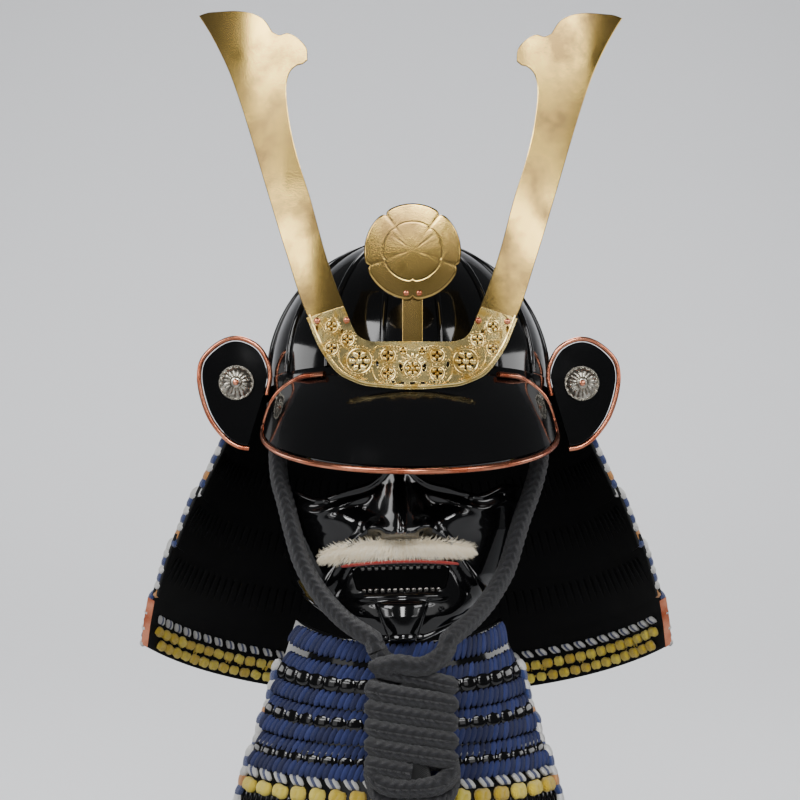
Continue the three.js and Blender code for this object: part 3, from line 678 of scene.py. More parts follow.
@dataclass(frozen=True)
class Matt:
    """Felt or bare floor: one colour, no gloss, a slight unevenness."""

    name: str
    colour: str
    roughness: float = 0.9
    sheen: float = 0.0

    def make(self) -> bpy.types.Material:
        """Builds the material."""
        n = Nodes(self.name)
        fuzz = n.noise(n.place(), 0.0006)
        return n.finished({
            "Base Color": linear(self.colour),
            "Roughness": self.roughness,
            "Sheen Weight": self.sheen,
            "Normal": n.relief(fuzz, 0.0002, 0.5),
        })


class Finish(Enum):
    """Every finish of the helmet, with the recipe that makes its material."""

    LACQUER = Lacquer()
    # Sheet brass buffed bright: pale gold with broad olive and brown clouds of tarnish.
    BRASS = Metal("polished_brass", "#cfae62", "#8a7145", (0.1, 0.22), 0.00002, 0.035)
    # Cast and gilded: light yellow on the high spots, deeper gold in the hollows.
    GILT = Metal("cast_gilt", "#f4dd98", "#bd9a4c", (0.16, 0.32), 0.00004, 0.008)
    # Drawn copper rod: pinkish orange with a long white glint.
    COPPER = Metal("drawn_copper", "#d98f70", "#a9583c", (0.18, 0.3))
    # Chased and silvered: grey white with dark dirt between the petals.
    SILVER = Metal("aged_silver", "#b9b4a8", "#6e6a62", (0.2, 0.36), 0.00004, 0.006)
    # Filed steel points: small dark beads, each with a spark of light.
    STEEL = Metal("dark_steel", "#6d6a66", "#2f2e2d", (0.14, 0.3), 0.00003, 0.004)
    # Flat braided silk, dyed navy: soft blue ridges with near-black gaps.
    BLUE = Thread("braided_silk", ((0.0, "#111840"), (0.5, "#1b275a"), (1.0, "#2e3b7c")), sheen=0.05)
    # Braid of white, blue and a little orange silk, a tone to each loop.
    BRAID = Thread(
        "edge_braid",
        ((0.0, "#dcdbd8"), (0.4, "#23366f"), (0.62, "#e4e3e0"), (0.85, "#c98a4a")),
        strand=0.9,
        slant=0.8,
        depth=0.0003,
        steps=True,
    )
    # Puffs of teased silk: lemon yellow, dull in the folds.
    TUFT = Thread("yellow_tufts", ((0.0, "#bd951c"), (0.5, "#dcbc2c"), (1.0, "#f3df50")), 0.9, 0.3, 0.0004)
    # Thick braided rope: charcoal on the crests of the strands, darkening to black in the grooves as painted
    # shade.
    CORD = Thread(
        "twisted_rope",
        ((0.0, "#050506"), (0.45, "#101013"), (1.0, "#26262b")),
        strand=1.1,
        slant=1.0,
        depth=0.0004,
        sheen=0.2,
        roughness=0.8,
    )
    # Clipped fur: cream white, each hair a little lighter or darker.
    HAIR = Thread("short_fur", ((0.0, "#f2e4c2"), (0.5, "#fdf0d4"), (1.0, "#fffaec")), 0.4, 0.1, 0.00005)
    # Pressed wool, cut in a narrow strip: flat red.
    FELT = Matt("felt_strip", "#a32a22", 0.95, 0.3)
    # Painted board: pale grey without gloss.
    FLOOR = Matt("backdrop", "#d4d5d8", 0.8)

    def material(self) -> bpy.types.Material:
        """The finish's material, made when first asked for."""
        known = bpy.data.materials.get(self.value.name)
        return known or self.value.make()


def make_object(name: str, shape: Shape, finish: Finish, sharp: float = 40.0) -> bpy.types.Object:
    """Turns a shape into an object at the origin.

    Args:
        name: The object's name.
        shape: Its surface, in millimetres.
        finish: What it is finished in.
        sharp: Edges that turn by more than this many degrees stay sharp.

    Returns:
        The object, in the scene.
    """
    mesh = bpy.data.meshes.new(name)
    mesh.vertices.add(len(shape.spots))
    mesh.vertices.foreach_set("co", (shape.spots * METRES).astype(np.float32).ravel())
    corners = np.concatenate([shape.quads.ravel(), shape.triangles.ravel()]).astype(np.int32)
    mesh.loops.add(len(corners))
    mesh.loops.foreach_set("vertex_index", corners)
    four, three = len(shape.quads), len(shape.triangles)
    mesh.polygons.add(four + three)
    starts = np.concatenate([np.arange(four) * 4, four * 4 + np.arange(three) * 3])
    mesh.polygons.foreach_set("loop_start", starts.astype(np.int32))
    lay = np.zeros((len(shape.spots), 3), np.float32)
    lay[:, :2] = shape.lay
    mesh.attributes.new("lay", "FLOAT_VECTOR", "POINT").data.foreach_set("vector", lay.ravel())
    mesh.attributes.new("pick", "FLOAT", "POINT").data.foreach_set("value", shape.pick.astype(np.float32))
    mesh.update(calc_edges=True)
    mesh.validate()
    mesh.shade_smooth()
    mesh.set_sharp_from_angle(angle=math.radians(sharp))
    mesh.materials.append(finish.material())
    holder = bpy.data.objects.new(name, mesh)
    bpy.context.scene.collection.objects.link(holder)
    return holder


def dress(name: str, shape: Shape, finish: Finish, *nodes: str, sharp: float = 40.0) -> bpy.types.Object:
    """Makes a piece that rides on the helmet, and that stands for some nodes of the frame.

    Args:
        name: The piece's name.
        shape: Its surface, in millimetres.
        finish: What it is finished in.
        nodes: The frame's nodes that it replaces.
        sharp: Edges that turn by more than this many degrees stay sharp.

    Returns:
        The piece.
    """
    piece = make_object(name, shape, finish, sharp)
    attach(piece, "root")
    if nodes:
        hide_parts(*nodes)
    log.info("%s: %d faces", name, len(shape.quads) + len(shape.triangles))
    return piece


class Lamp(NamedTuple):
    """A rectangular soft light that looks at the helmet or, behind it, at the backdrop.

    Attributes:
        name: The light's name.
        azimuth: Degrees to the right of straight in front.
        elevation: Degrees above the helmet.
        distance: Metres from the helmet.
        size: Width and height, in metres.
        power: Watts.
        at_backdrop: Whether it looks at the backdrop and not at the helmet.
    """

    name: str
    azimuth: float
    elevation: float
    distance: float
    size: tuple[float, float]
    power: float
    at_backdrop: bool = False


LAMPS = (
    Lamp("left_box", -38, 32, 1.8, (0.7, 0.6), 14.0),
    Lamp("right_box", 44, 30, 1.8, (0.5, 0.6), 8.0),
    Lamp("top_light", 180, 62, 1.7, (1.2, 0.5), 14.0),
    Lamp("left_strip", -42, 12, 1.8, (0.16, 0.7), 2.4),
    Lamp("right_strip", 38, 13, 1.8, (0.1, 0.6), 1.4),
    Lamp("left_panel", -48, 8, 1.8, (0.8, 0.6), 1.7),
    Lamp("right_panel", 40, 10, 1.9, (0.7, 0.6), 1.7),
    Lamp("near_panel", 1, 26, 2.1, (0.8, 0.3), 16.0),
    Lamp("left_rim", -104, 14, 1.8, (0.5, 1.2), 7.0),
    Lamp("right_rim", 100, 12, 1.8, (0.4, 1.2), 6.0),
    Lamp("left_back", -128, 30, 1.6, (1.2, 1.2), 27.0, at_backdrop=True),
    Lamp("right_back", 128, 30, 1.6, (1.2, 1.2), 27.0, at_backdrop=True),
)


@dataclass
class Studio:
    """A pale floor, pale soft light from all round, and the camera at the photograph's angle.

    Attributes:
        eye: The camera's place, in metres.
        pitch: How far it looks up, in degrees.
        yaw: How far it looks to the left, in degrees.
        lens: Focal length, in millimetres on a 36 mm sensor.
        floor: Height of the floor, in metres.
        half_width: Half the floor's width, in metres.
        profile: The floor and backdrop from the front upwards, as depth and height in metres.
        helmet: The place that the lamps in front look at, in metres.
        backdrop: The place that the lamps behind look at, in metres.
        lamp_base: Height from which the elevation of the lamps is measured, in metres.
        sky: Colour of the light from all round.
        sky_strength: Strength of that light.
    """

    eye: tuple[float, float, float] = (-0.034, -1.5, -0.1745)
    pitch: float = 6.08
    yaw: float = -1.042
    lens: float = 80.3
    floor: float = -0.444
    half_width: float = 3.5
    profile: tuple = ((-3.5, 0.0), (0.5, 0.0), (1.6, 0.02), (2.3, 0.35), (2.6, 1.2), (2.65, 3.4))
    helmet: tuple[float, float, float] = (0.0, 0.0, -0.08)
    backdrop: tuple[float, float, float] = (0.0, 2.6, 0.4)
    lamp_base: float = -0.1
    sky: str = "#eef1f4"
    sky_strength: float = 0.11

    def build(self) -> None:
        """Sets up camera, floor, world and lights."""
        camera = bpy.data.objects.new("camera", bpy.data.cameras.new("camera"))
        camera.data.lens = self.lens
        camera.location = self.eye
        camera.rotation_euler = (math.radians(90 + self.pitch), 0.0, math.radians(self.yaw))
        bpy.context.scene.collection.objects.link(camera)
        bpy.context.scene.camera = camera
        self.lay_floor()
        self.hang_lights()

    def lay_floor(self) -> None:
        """A floor that curves up into a backdrop far behind the helmet, as a closed sheet."""
        run = smooth_route(self.profile, 60)
        x = np.array([-self.half_width, self.half_width])[None, :]
        top = stack(x, run[:, :1], run[:, 1:] + self.floor) / METRES
        under = top + np.array([0.0, 40.0, -40.0])
        floor = make_object("floor", wall(top, under), Finish.FLOOR)

    def hang_lights(self) -> None:
        """The light from all round and the lamps."""
        world = bpy.data.worlds.new("studio")
        world.use_nodes = True
        background = world.node_tree.nodes["Background"]
        background.inputs["Color"].default_value = linear(self.sky)
        background.inputs["Strength"].default_value = self.sky_strength
        bpy.context.scene.world = world
        for lamp in LAMPS:
            around, up = math.radians(lamp.azimuth), math.radians(lamp.elevation)
            flat, high = lamp.distance * math.cos(up), lamp.distance * math.sin(up)
            place = (flat * math.sin(around), -flat * math.cos(around), high + self.lamp_base)
            aim = self.backdrop if lamp.at_backdrop else self.helmet
            light = bpy.data.lights.new(lamp.name, "AREA")
            light.shape = "RECTANGLE"
            light.size, light.size_y = lamp.size
            light.energy = lamp.power
            holder = bpy.data.objects.new(lamp.name, light)
            away = unit(np.array(place) - np.array(aim))
            tilt, turn = math.acos(away[2]), math.atan2(away[1], away[0])
            holder.location, holder.rotation_euler = place, (0.0, tilt, turn)
            bpy.context.scene.collection.objects.link(holder)


ROPE_STEP = 1.1
ROPE_RELIEF = 0.18


def rope(route: Array, radius: float, facing: Array = FORWARD, closed: bool = False) -> Shape:
    """A braided rope: its skin stands up in herringbone rows of strands.

    The relief is |cos(pi * (along / pitch + chevron))| to the power 0.6, where the chevron runs to and fro
    round the rope; the grooves between the columns of strands are a little deeper. The relief also sets the
    tone, so the grooves are painted darker as shade.

    Args:
        route: Its middle line.
        radius: Its radius, in millimetres.
        facing: The direction that one side of each section faces.
        closed: Whether its ends join.

    Returns:
        The rope's surface.
    """
    length = np.linalg.norm(np.diff(route, axis=0), axis=1).sum()
    fine = even_steps(route, max(24, int(length / ROPE_STEP)))
    sides, columns, pitch = 32, 4, 6.6
    along = np.linspace(0, length, len(fine))[:, None]
    around = (np.arange(sides) / sides)[None, :] * columns
    chevron = np.abs((around % 1) * 2 - 1)
    strands = np.abs(np.cos(math.pi * (along / pitch + chevron)))
    high = strands**0.6 * (0.6 + 0.4 * np.abs(np.sin(TURN * around)))
    woven = tube(fine, radius * (1 - ROPE_RELIEF + ROPE_RELIEF * high), sides, closed, facing)
    # painted shade: the tone follows the relief, so the grooves between the strands are darkest
    woven.pick[: high.size] = high.ravel()
    return woven


@dataclass
class ChinCord:
    """The black braided rope from under the peak round the mask, its knot under the chin and its two tails.

    Attributes:
        radius: The rope's radius.
        left, right: Routes of the two runs, in millimetres.
        left_tail, right_tail: Routes of the tails below the knot.
        half_width: Half the width of the wound knot.
        middle: The knot's middle line, as x and y.
        turns: Turns of rope wound round the knot.
        lead, lead_left: Routes of the runs into the knot.
        arch, under: Routes of the loop below the turns and of the strand across it.
        leg: Route of one leg from the loop to a tail, for the right side.
    """

    radius: float = 7.75
    left: tuple = (
        (-109, -51, -22.7), (-109, -51, -32), (-107.5, -53, -43), (-107, -60, -56), (-106, -69, -72),
        (-104, -78, -88), (-98.5, -88, -106), (-95.7, -92.4, -117.3), (-92.5, -97, -129), (-84.5, -105, -154),
        (-69, -119, -179), (-50.5, -136, -198), (-35, -149, -208), (-26.5, -154, -214.5),
        (-26.5, -154, -220.6),
    )
    right: tuple = (
        (109, -51, -22.7), (109, -51, -32), (107.5, -53, -43), (106.5, -59, -56), (103.5, -68, -76),
        (96.5, -78, -98), (89, -87, -116), (82.5, -94, -135), (78.6, -97.7, -147.5), (74, -102, -160),
        (57.5, -118, -185), (41, -137, -201), (30, -149, -209), (24.5, -154, -214.5), (24.5, -154, -220.6),
    )
    left_tail: tuple = (
        (-16, -155, -338.4), (-16.3, -155, -348), (-17.5, -155, -362), (-19, -154, -378), (-20, -153, -394),
        (-20.3, -152.5, -410), (-20, -152, -425), (-19.8, -152, -435.4),
    )
    right_tail: tuple = (
        (14, -156, -338.4), (14.3, -156, -348), (15.5, -156, -362), (16.8, -155.5, -378), (17.3, -155, -394),
        (17.2, -154.6, -410), (16.9, -154.2, -424), (16.8, -154, -434),
    )
    half_width: float = 36.0
    middle: tuple[float, float] = (-1.0, -155.5)
    turns: int = 5
    turn_pitch: float = 13.6
    depth: float = 7.0
    top_turn: float = -240.0
    lead: tuple = (
        (24.5, -154, -219), (21, -158, -224), (6, -163.5, -231), (-12, -163, -229), (-27, -157, -232),
    )
    lead_left: tuple = ((-26.5, -154, -219), (-22, -152, -226), (-10, -150, -232))
    arch: tuple = (
        (-27, -153, -300), (-29, -157, -310), (-19, -162, -318), (0, -163.5, -319.5), (19, -162, -317),
        (28, -157, -309), (26, -153, -300),
    )
    leg: tuple = ((27, -150, -301), (28.5, -149.5, -314), (24, -152, -327), (15, -155, -337.5))
    under: tuple = (
        (-24, -151, -326), (-12, -157, -330.5), (2, -159, -331), (14, -157, -330), (24, -151, -326),
    )

    def build(self) -> None:
        """Makes the two runs, the tails and the knot."""
        knot = dress("knot", self.knot(), Finish.CORD, "chin_knot")
        for name, points, going in (
            ("chin_cord_left", self.left, [knot]),
            ("chin_cord_right", self.right, []),
            ("cord_tail_left", self.left_tail, []),
            ("cord_tail_right", self.right_tail, []),
        ):
            route = smooth_route(points, 24)
            piece = dress("woven_" + name, rope(route, self.radius), Finish.CORD, name)

    def knot(self) -> Shape:
        """Wound turns round the two runs, with a loop below them and one strand crossing over at the top."""
        x, y = self.middle
        outer = self.half_width - self.radius
        turn = np.linspace(0, TURN * self.turns, 60 * self.turns)
        slope = 2.2 * np.sin(turn)
        height = self.top_turn - self.turn_pitch * turn / TURN - slope
        wound = stack(x + outer * np.sin(turn), y - self.depth * np.cos(turn), height)
        strands = [rope(np.vstack([smooth_route(self.lead, 40), wound[12:]]), self.radius, UP)]
        strands.append(rope(smooth_route(self.lead_left, 12), self.radius))
        core = np.linspace(-226, -319, 12)
        strands.append(tube(stack(x, y + 3, core), np.linspace(9.0, 15.0, len(core)), 20))
        strands.append(rope(smooth_route(self.arch, 60), self.radius, UP))
        for side in Side:
            strands.append(rope(smooth_route(self.leg * np.array([side.value, 1, 1]), 30), self.radius))
        strands.append(rope(smooth_route(self.under, 40), self.radius, UP))
        return joined(strands)


@dataclass
class Bowl:
    """The ribbed bowl of sixteen lacquered plates, its waist band and the ring round its crown hole."""

    half_width: float = 118.0
    half_depth: float = 134.0
    height: float = 120.0
    wall: float = 2.5
    plates: int = 16
    rib_height: float = 3.0
    rib_width: float = 5.0
    hole_radius: float = 16.0
    band_height: float = 22.0
    clearance: float = 0.3
    ring_profile: tuple = (
        (13.7, 118), (15.7, 118), (15.7, 122.7), (22, 122.2), (25, 121.6), (25.2, 122.6), (24.6, 123.6),
        (21.5, 125), (20, 126.2), (19.2, 128.4), (17.6, 130.2), (15.4, 130.2), (13.7, 129),
    )

    def place(self, turn: Array, tilt: Array, proud: Array | float = 0.0) -> Array:
        """A point of the bowl: turn runs round from the front, tilt down from the crown."""
        ring = np.sin(tilt)
        return stack(
            (self.half_width + proud) * ring * np.sin(turn),
            -(self.half_depth + proud) * ring * np.cos(turn),
            (self.height + proud) * np.cos(tilt),
        )

    def build(self) -> None:
        """Makes bowl, band and ring."""
        dress("ribbed_bowl", self.plates_and_ribs(), Finish.LACQUER, "bowl", sharp=60)
        turn = np.linspace(0, TURN, 160, endpoint=False)[None, :]
        down = np.array([0.0, 0.04, 0.5, 0.96, 1.0])[:, None]
        edge = np.where((down > 0.01) & (down < 0.99), 1.0, 0.5)
        outer = self.place(turn, math.pi / 2, edge)
        inner = self.place(turn, math.pi / 2, np.full_like(edge, -self.wall))
        for grid in (outer, inner):
            grid[..., 2] = -self.clearance - down * self.band_height
        dress("band_round_bowl", wall(outer, inner, ring=True), Finish.LACQUER, "waist_band")
        dress("ring_on_crown", self.crown_ring(), Finish.BRASS, "crown_ring")

    def plates_and_ribs(self) -> Shape:
        """The bowl as a ring of plates; each joint carries a rounded rib, sqrt(1 - s^2) in section."""
        rows = np.linspace(0, 1, 56)[:, None]
        tilt = lerp(math.asin(self.hole_radius / self.half_width), math.pi / 2, rows)
        plate_turn = TURN / self.plates
        rib = np.minimum(self.rib_width / 2 / (self.half_width * np.sin(tilt)), plate_turn / 3)
        in_rib = np.array([-1, -0.92, -0.7, -0.35, 0, 0.35, 0.7, 0.92, 1])
        on_plate = np.array([0.12, 0.3, 0.5, 0.7, 0.88])
        offsets = np.concatenate([in_rib * rib, rib + on_plate * (plate_turn - 2 * rib)], axis=1)
        high = np.concatenate([np.sqrt(1 - in_rib**2), 0 * on_plate]) * self.rib_height
        swell = np.concatenate([0 * in_rib, np.sin(math.pi * on_plate)]) * 0.5
        turns = ((np.arange(self.plates) + 0.5) * plate_turn)[None, :, None] + offsets[:, None, :]
        proud = (high[None] * lerp(0.5, 1.0, rows) + swell[None])[:, None, :]
        turns = turns.reshape(len(rows), -1)
        proud = np.repeat(proud, self.plates, axis=1).reshape(len(rows), -1)
        return wall(self.place(turns, tilt, proud), self.place(turns, tilt, -self.wall), ring=True)

    def crown_ring(self) -> Shape:
        """A stepped collar whose wall lines the hole in the crown, with sixteen low petals on its brim."""
        rows = np.asarray(self.ring_profile)[:, None, :]
        turn = (np.arange(64) / 64 * TURN)[None, :]
        on_collar = (rows[..., 0] > 21) & (rows[..., 1] > 122.5)
        radius = rows[..., 0] + 0.35 * np.abs(np.sin(turn * self.plates / 2)) * on_collar
        return skin(stack(radius * np.cos(turn), radius * np.sin(turn), rows[..., 1]), closed=True)


@dataclass
class Peak:
    """The wide drooping peak of black lacquer with a round copper rim."""

    bowl: Bowl
    half_span: float = 118.0
    reach: float = 193.0
    drop: float = 84.0
    corner_back: float = 62.0
    corner_drop: float = 40.0
    root_below: float = 8.0
    root_half_angle: float = math.radians(46)
    wall: float = 2.5
    bulge: float = 6.0
    rim_radius: float = 2.3

    def place(self, across: Array, down: Array, proud: Array | float = 0.0) -> Array:
        """A point of the peak: across from -1 to 1, down from its root to its rim."""
        root = self.bowl.place(across * self.root_half_angle, math.pi / 2, 1.3 + self.wall)
        root[..., 2] = -self.root_below
        turn = np.asarray(across) * math.pi / 2
        front = np.maximum(0, np.cos(turn))
        edge = stack(
            self.half_span * np.sin(turn),
            -lerp(self.corner_back, self.reach, front),
            -lerp(self.corner_drop, self.drop, front**0.8),
        )
        out = unit(stack(0.9 * np.sin(turn), -0.9 * front - 0.1, 0.75))
        lift = self.bulge * np.sin(math.pi * np.asarray(down)) + proud
        return lerp(root, edge, np.asarray(down)[..., None]) + out * np.asarray(lift)[..., None]

    def height_at(self, reach: float) -> float:
        """Height of the peak's middle line where it reaches forward by so much."""
        down = np.linspace(0, 1, 2000)
        spots = self.place(np.zeros_like(down), down)
        return float(np.interp(reach, -spots[:, 1], spots[:, 2]))

    def build(self) -> None:
        """Makes the peak and its rim."""
        across, down = np.linspace(-1, 1, 121)[None, :], np.linspace(0, 1, 36)[:, None]
        across, down = np.broadcast_arrays(across, down)
        plate = wall(self.place(across, down), self.place(across, down, -self.wall))
        dress("front_peak", plate, Finish.LACQUER, "peak")
        rim = tube(self.rim_route(), self.rim_radius, 14, facing=UP)
        dress("rim_of_peak", rim, Finish.COPPER, "peak_rim")

    def rim_route(self) -> Array:
        """The rim's middle line: along the root's ends, the sides and the front, clear of the edge."""
        sides = np.linspace(0.16, 0.96, 12)
        front = np.linspace(-1, 1, 90)
        across = np.concatenate([-np.ones(12), front, np.ones(12)])
        down = np.concatenate([sides, np.ones(90), sides[::-1]])
        edge = self.place(across, down, -self.wall / 2)
        along = unit(np.gradient(edge, axis=0))
        away = edge - self.place(across * 0.93, down * 0.93, -self.wall / 2)
        away -= along * (away * along).sum(axis=1, keepdims=True)
        edge = edge + unit(away) * (self.rim_radius + 1.2)
        inboard = np.linspace(0.7, 0.9, 5)
        at_root = np.full(len(inboard), 0.02)
        ends = [self.place(side.value * inboard, at_root, self.rim_radius + 0.6) for side in Side]
        route = smooth_route(np.vstack([ends[0], edge[::3], edge[-1:], ends[1][::-1]]), 320)
        return even_steps(route, 180)


FLOWER_HEART = ((0, 0), (0.3, 0), (0.3, 0.8), (0.2, 1.4), (0, 1.7))


def flower(radius: float, petals: int, high: float) -> Shape:
    """A small raised flower of flattened balls round a domed middle."""
    turn = math.pi / 2 + (np.arange(petals) + 0.5) / petals * TURN
    way = stack(np.cos(turn), np.sin(turn), 0.0)
    side = stack(-np.sin(turn), np.cos(turn), 0.0)
    wide = 0.62 * radius * math.tan(0.8 * math.pi / petals)
    leaves = stamp(ball(10, 8), way * radius * 0.66, side, way, UP, np.array([wide, radius * 0.36, high]))
    heart = [(share * radius, high * level) for share, level in FLOWER_HEART]
    return joined([leaves, turned(heart, 14)])


def both_sides(across: float) -> tuple[int, ...]:
    """The sides on which something stands: only one if it is on the middle line."""
    return (1,) if across == 0 else (-1, 1)


# shares of the holder's half width and height: its lower and its upper edge
HOLDER_OUTER = (
    (0.1, 0.003), (0.2, 0.012), (0.32, 0.028), (0.45, 0.05), (0.58, 0.11), (0.7, 0.2),
    (0.87, 0.49), (1, 0.87),
)
HOLDER_INNER = ((0.65, 1), (0.51, 0.64), (0.41, 0.58), (0.28, 0.57), (0.14, 0.57), (0, 0.57))
# place of each flower as shares, radius and number of petals
HOLDER_FLOWERS = (
    (0, 0.25, 5, 6), (0.09, 0.46, 2.8, 3), (0.23, 0.4, 4, 4), (0.23, 0.19, 4, 4),
    (0.5, 0.34, 7, 6), (0.61, 0.6, 3.6, 4), (0.76, 0.5, 3.6, 4), (0.76, 0.76, 3.6, 4),
)
# place of each slot as shares, half width and half height
HOLDER_SLOTS = (
    (0.105, 0.27, 1.9, 3.6), (0, 0.075, 2.6, 0.8), (0.1, 0.078, 2.4, 0.8), (0.19, 0.09, 2.2, 0.7),
    (0.33, 0.3, 1.1, 2.4), (0.13, 0.5, 0.9, 1.6), (0.9, 0.74, 1.0, 2.6), (0.66, 0.7, 0.9, 2.0),
)
HOLDER_STEMS = (
    ((0.1, 0.1), (0.2, 0.06), (0.34, 0.12), (0.38, 0.27), (0.33, 0.36)),
    ((0.12, 0.5), (0.2, 0.52), (0.34, 0.5), (0.38, 0.42)),
    ((0.42, 0.12), (0.56, 0.18), (0.68, 0.33), (0.7, 0.46)),
    ((0.52, 0.52), (0.6, 0.48), (0.69, 0.6), (0.68, 0.74), (0.75, 0.9)),
    ((0.84, 0.62), (0.84, 0.74), (0.9, 0.86), (0.85, 0.92)),
)
# shares of half the span of the horns and of their height, in order round the outline
HORN_OUTER = (
    (0.34, 0.115), (0.407, 0.13), (0.484, 0.202), (0.569, 0.343), (0.673, 0.531), (0.742, 0.659),
    (0.798, 0.758), (0.848, 0.836), (0.898, 0.898), (0.955, 0.959), (1, 1),
)
HORN_TOP = (
    (1, 1), (0.955, 1.004), (0.911, 1.002), (0.811, 0.996), (0.74, 0.984), (0.684, 0.963), (0.645, 0.929),
)
HORN_COMB = ((0.645, 0.929), (0.61, 0.919), (0.573, 0.922), (0.519, 0.903), (0.484, 0.876), (0.48, 0.848))
HORN_INNER = (
    (0.48, 0.848), (0.505, 0.838), (0.526, 0.837), (0.562, 0.82), (0.578, 0.785), (0.561, 0.687),
    (0.52, 0.59), (0.466, 0.494), (0.397, 0.353), (0.342, 0.26), (0.277, 0.17),
)
# start, end and number of the crest's rings, as shares of its radius
CREST_RINGS = ((0.02, 0.55, 12), (0.57, 0.65, 9), (0.68, 0.93, 8), (0.95, 1, 5))
RIVET_HEAD = ((0, 0), (1, 0), (1, 0.18), (0.86, 0.5), (0.55, 0.76), (0, 0.86))
RIVETS = (
    "horn_rivet_left_1", "horn_rivet_left_2", "horn_rivet_right_1", "horn_rivet_right_2",
    "crest_rivet_1", "crest_rivet_2",
)


@dataclass
class HornSheet:
    """The pierced holder, the two horns and the round crest, which stand in one curved upright sheet."""

    peak: Peak
    reach: float = 156.0
    curve_radius: float = 300.0
    lean: float = 0.04
    half_width: float = 81.0
    height: float = 64.0
    plate: float = 2.0
    horn_half_span: float = 169.0
    horn_top: float = 280.0
    horn_plate: float = 2.4
    crest_centre: float = 82.0
    crest_radius: float = 37.0
    lobes: int = 5
    post_width: float = 15.5
    post_plate: float = 2.4
    ringed_from: float = 3.0
    clearance: float = 0.3

    def __post_init__(self) -> None:
        """Finds where the sheet stands on the peak."""
        self.seat = self.peak.height_at(self.reach - self.plate)
        self.bottom = self.seat + self.clearance

    def place(self, across: Array, up: Array, back: Array | float = 0.0) -> Array:
        """A point of the sheet, so far behind its face."""
        bow = np.asarray(across) ** 2 / (2 * self.curve_radius)
        reach = self.reach - bow + self.lean * (np.asarray(up) - self.seat)
        return stack(across, -reach + back, up)

    def place_behind(self, across: Array, up: Array, back: Array | float = 0.0) -> Array:
        """A point of the sheet behind the holder, where the horns and the post stand."""
        return self.place(across, up, back + (self.plate + 2 * self.clearance))

    def holder_spot(self, across: float, up: float, side: int = 1) -> tuple[float, float]:
        """Millimetres from shares of the holder's half width and height."""
        return side * across * self.half_width, self.bottom + up * self.height

    def build(self) -> None:
        """Makes holder, horns, post, crest and rivets."""
        self.make_holder()
        for side in Side:
            horn = cut_plate([self.horn_outline(side.value)], self.horn_plate, 0.5, (6, 0), self.place_behind)
            dress(f"brass_horn_{side.word}", horn, Finish.BRASS, f"horn_{side.word}", sharp=12)
        half, low, high = self.post_width / 2, self.bottom + self.height * 0.2, self.crest_centre
        edge = np.array([(-half, low), (half, low), (half, high), (-half, high)])
        post = cut_plate([edge], self.post_plate, 0.4, (4, 0), self.place_behind)
        dress("post_of_crest", post, Finish.BRASS, "crest_post", sharp=12)
        self.make_crest()
        self.make_rivets()

    def make_holder(self) -> None:
        """The pale gilt holder: a plate pierced by petals and slots, with its relief laid on."""
        outlines = [self.holder_outline(), *self.petal_holes(), *self.slot_holes()]
        plate = cut_plate(outlines, self.plate, 0.3, (6, 0), self.place)
        dress("pierced_holder", plate, Finish.GILT, "horn_holder", sharp=12)
        relief = [*self.flowers(), self.raised_edge(), self.fan(), self.scrolls()]
        dress("flowers_on_holder", joined(relief), Finish.GILT)

    def holder_outline(self) -> Array:
        """The holder's outline: its right half and the same again mirrored."""
        spot = self.holder_spot
        outer = smooth_route([spot(0, 0)] + [spot(a, u) for a, u in HOLDER_OUTER], 60)
        inner = smooth_route([spot(a, u) for a, u in HOLDER_INNER], 50)
        right = np.vstack([outer, inner])
        return np.vstack([right, (right * [-1, 1])[::-1][1:-1]])

    def petal_holes(self) -> list[Array]:
        """The pierced petals of every flower, each a rounded kite."""
        holes = []
        for across, up, radius, petals in HOLDER_FLOWERS:
            wide = 0.62 * math.tan(0.7 * math.pi / petals)
            kite = ((0.35, 0), (0.62, wide), (1, 0), (0.62, -wide))
            for side in both_sides(across):
                centre = np.array(self.holder_spot(across, up, side))
                for i in range(petals):
                    turn = math.pi / 2 + i / petals * TURN
                    way = np.array([math.cos(turn), math.sin(turn)])
                    aside = np.array([-way[1], way[0]])
                    hole = [centre + radius * (a * way + s * aside) for a, s in kite]
                    holes.append(smooth_route(hole, 12, closed=True))
        return holes

    def slot_holes(self) -> list[Array]:
        """The oval slots between the flowers."""
        turn = np.linspace(0, TURN, 12, endpoint=False)
        holes = []
        for across, up, wide, tall in HOLDER_SLOTS:
            for side in both_sides(across):
                x, z = self.holder_spot(across, up, side)
                holes.append(stack(x + wide * np.cos(turn), z + tall * np.sin(turn)))
        return holes

    def circle(self, x: float, z: float, radius: float, count: int, back: float) -> Array:
        """Evenly spaced places of a circle on the sheet."""
        turn = np.linspace(0, TURN, count, endpoint=False)
        return self.place(x + radius * np.cos(turn), z + radius * np.sin(turn), back)

    def flowers(self) -> list[Shape]:
        """The raised flowers; each large one has a thin ring and a circle of pearls round it."""
        relief = []
        for across, up, radius, petals in HOLDER_FLOWERS:
            for side in both_sides(across):
                x, z = self.holder_spot(across, up, side)
                facing = surface_frame(lambda a, v: self.place(a, -v), np.array([x]), np.array([-z]))
                relief.append(stamp(flower(radius * 1.25, petals, 1.6), *facing, np.ones(3)))
                if radius > self.ringed_from:
                    around = 1.36 * radius
                    relief.append(tube(self.circle(x, z, around, 48, -0.3), 0.5, 8, closed=True))
                    pearls = self.circle(x, z, around + 1.5, 3 * round(radius) + 3, -0.2)
                    relief.append(stamp(ball(8, 6), pearls, RIGHT, UP, FORWARD, np.full(3, 0.85)))
        return relief

    def raised_edge(self) -> Shape:
        """A raised bead along the holder's lower edge."""
        spot = self.holder_spot
        edge = smooth_route([spot(0, 0.035)] + [spot(a * 0.975, u + 0.035) for a, u in HOLDER_OUTER], 120)
        edge = np.vstack([(edge * [-1, 1])[::-1][:-1], edge])
        return tube(self.place(edge[:, 0], edge[:, 1], -0.2), 0.9, 8)

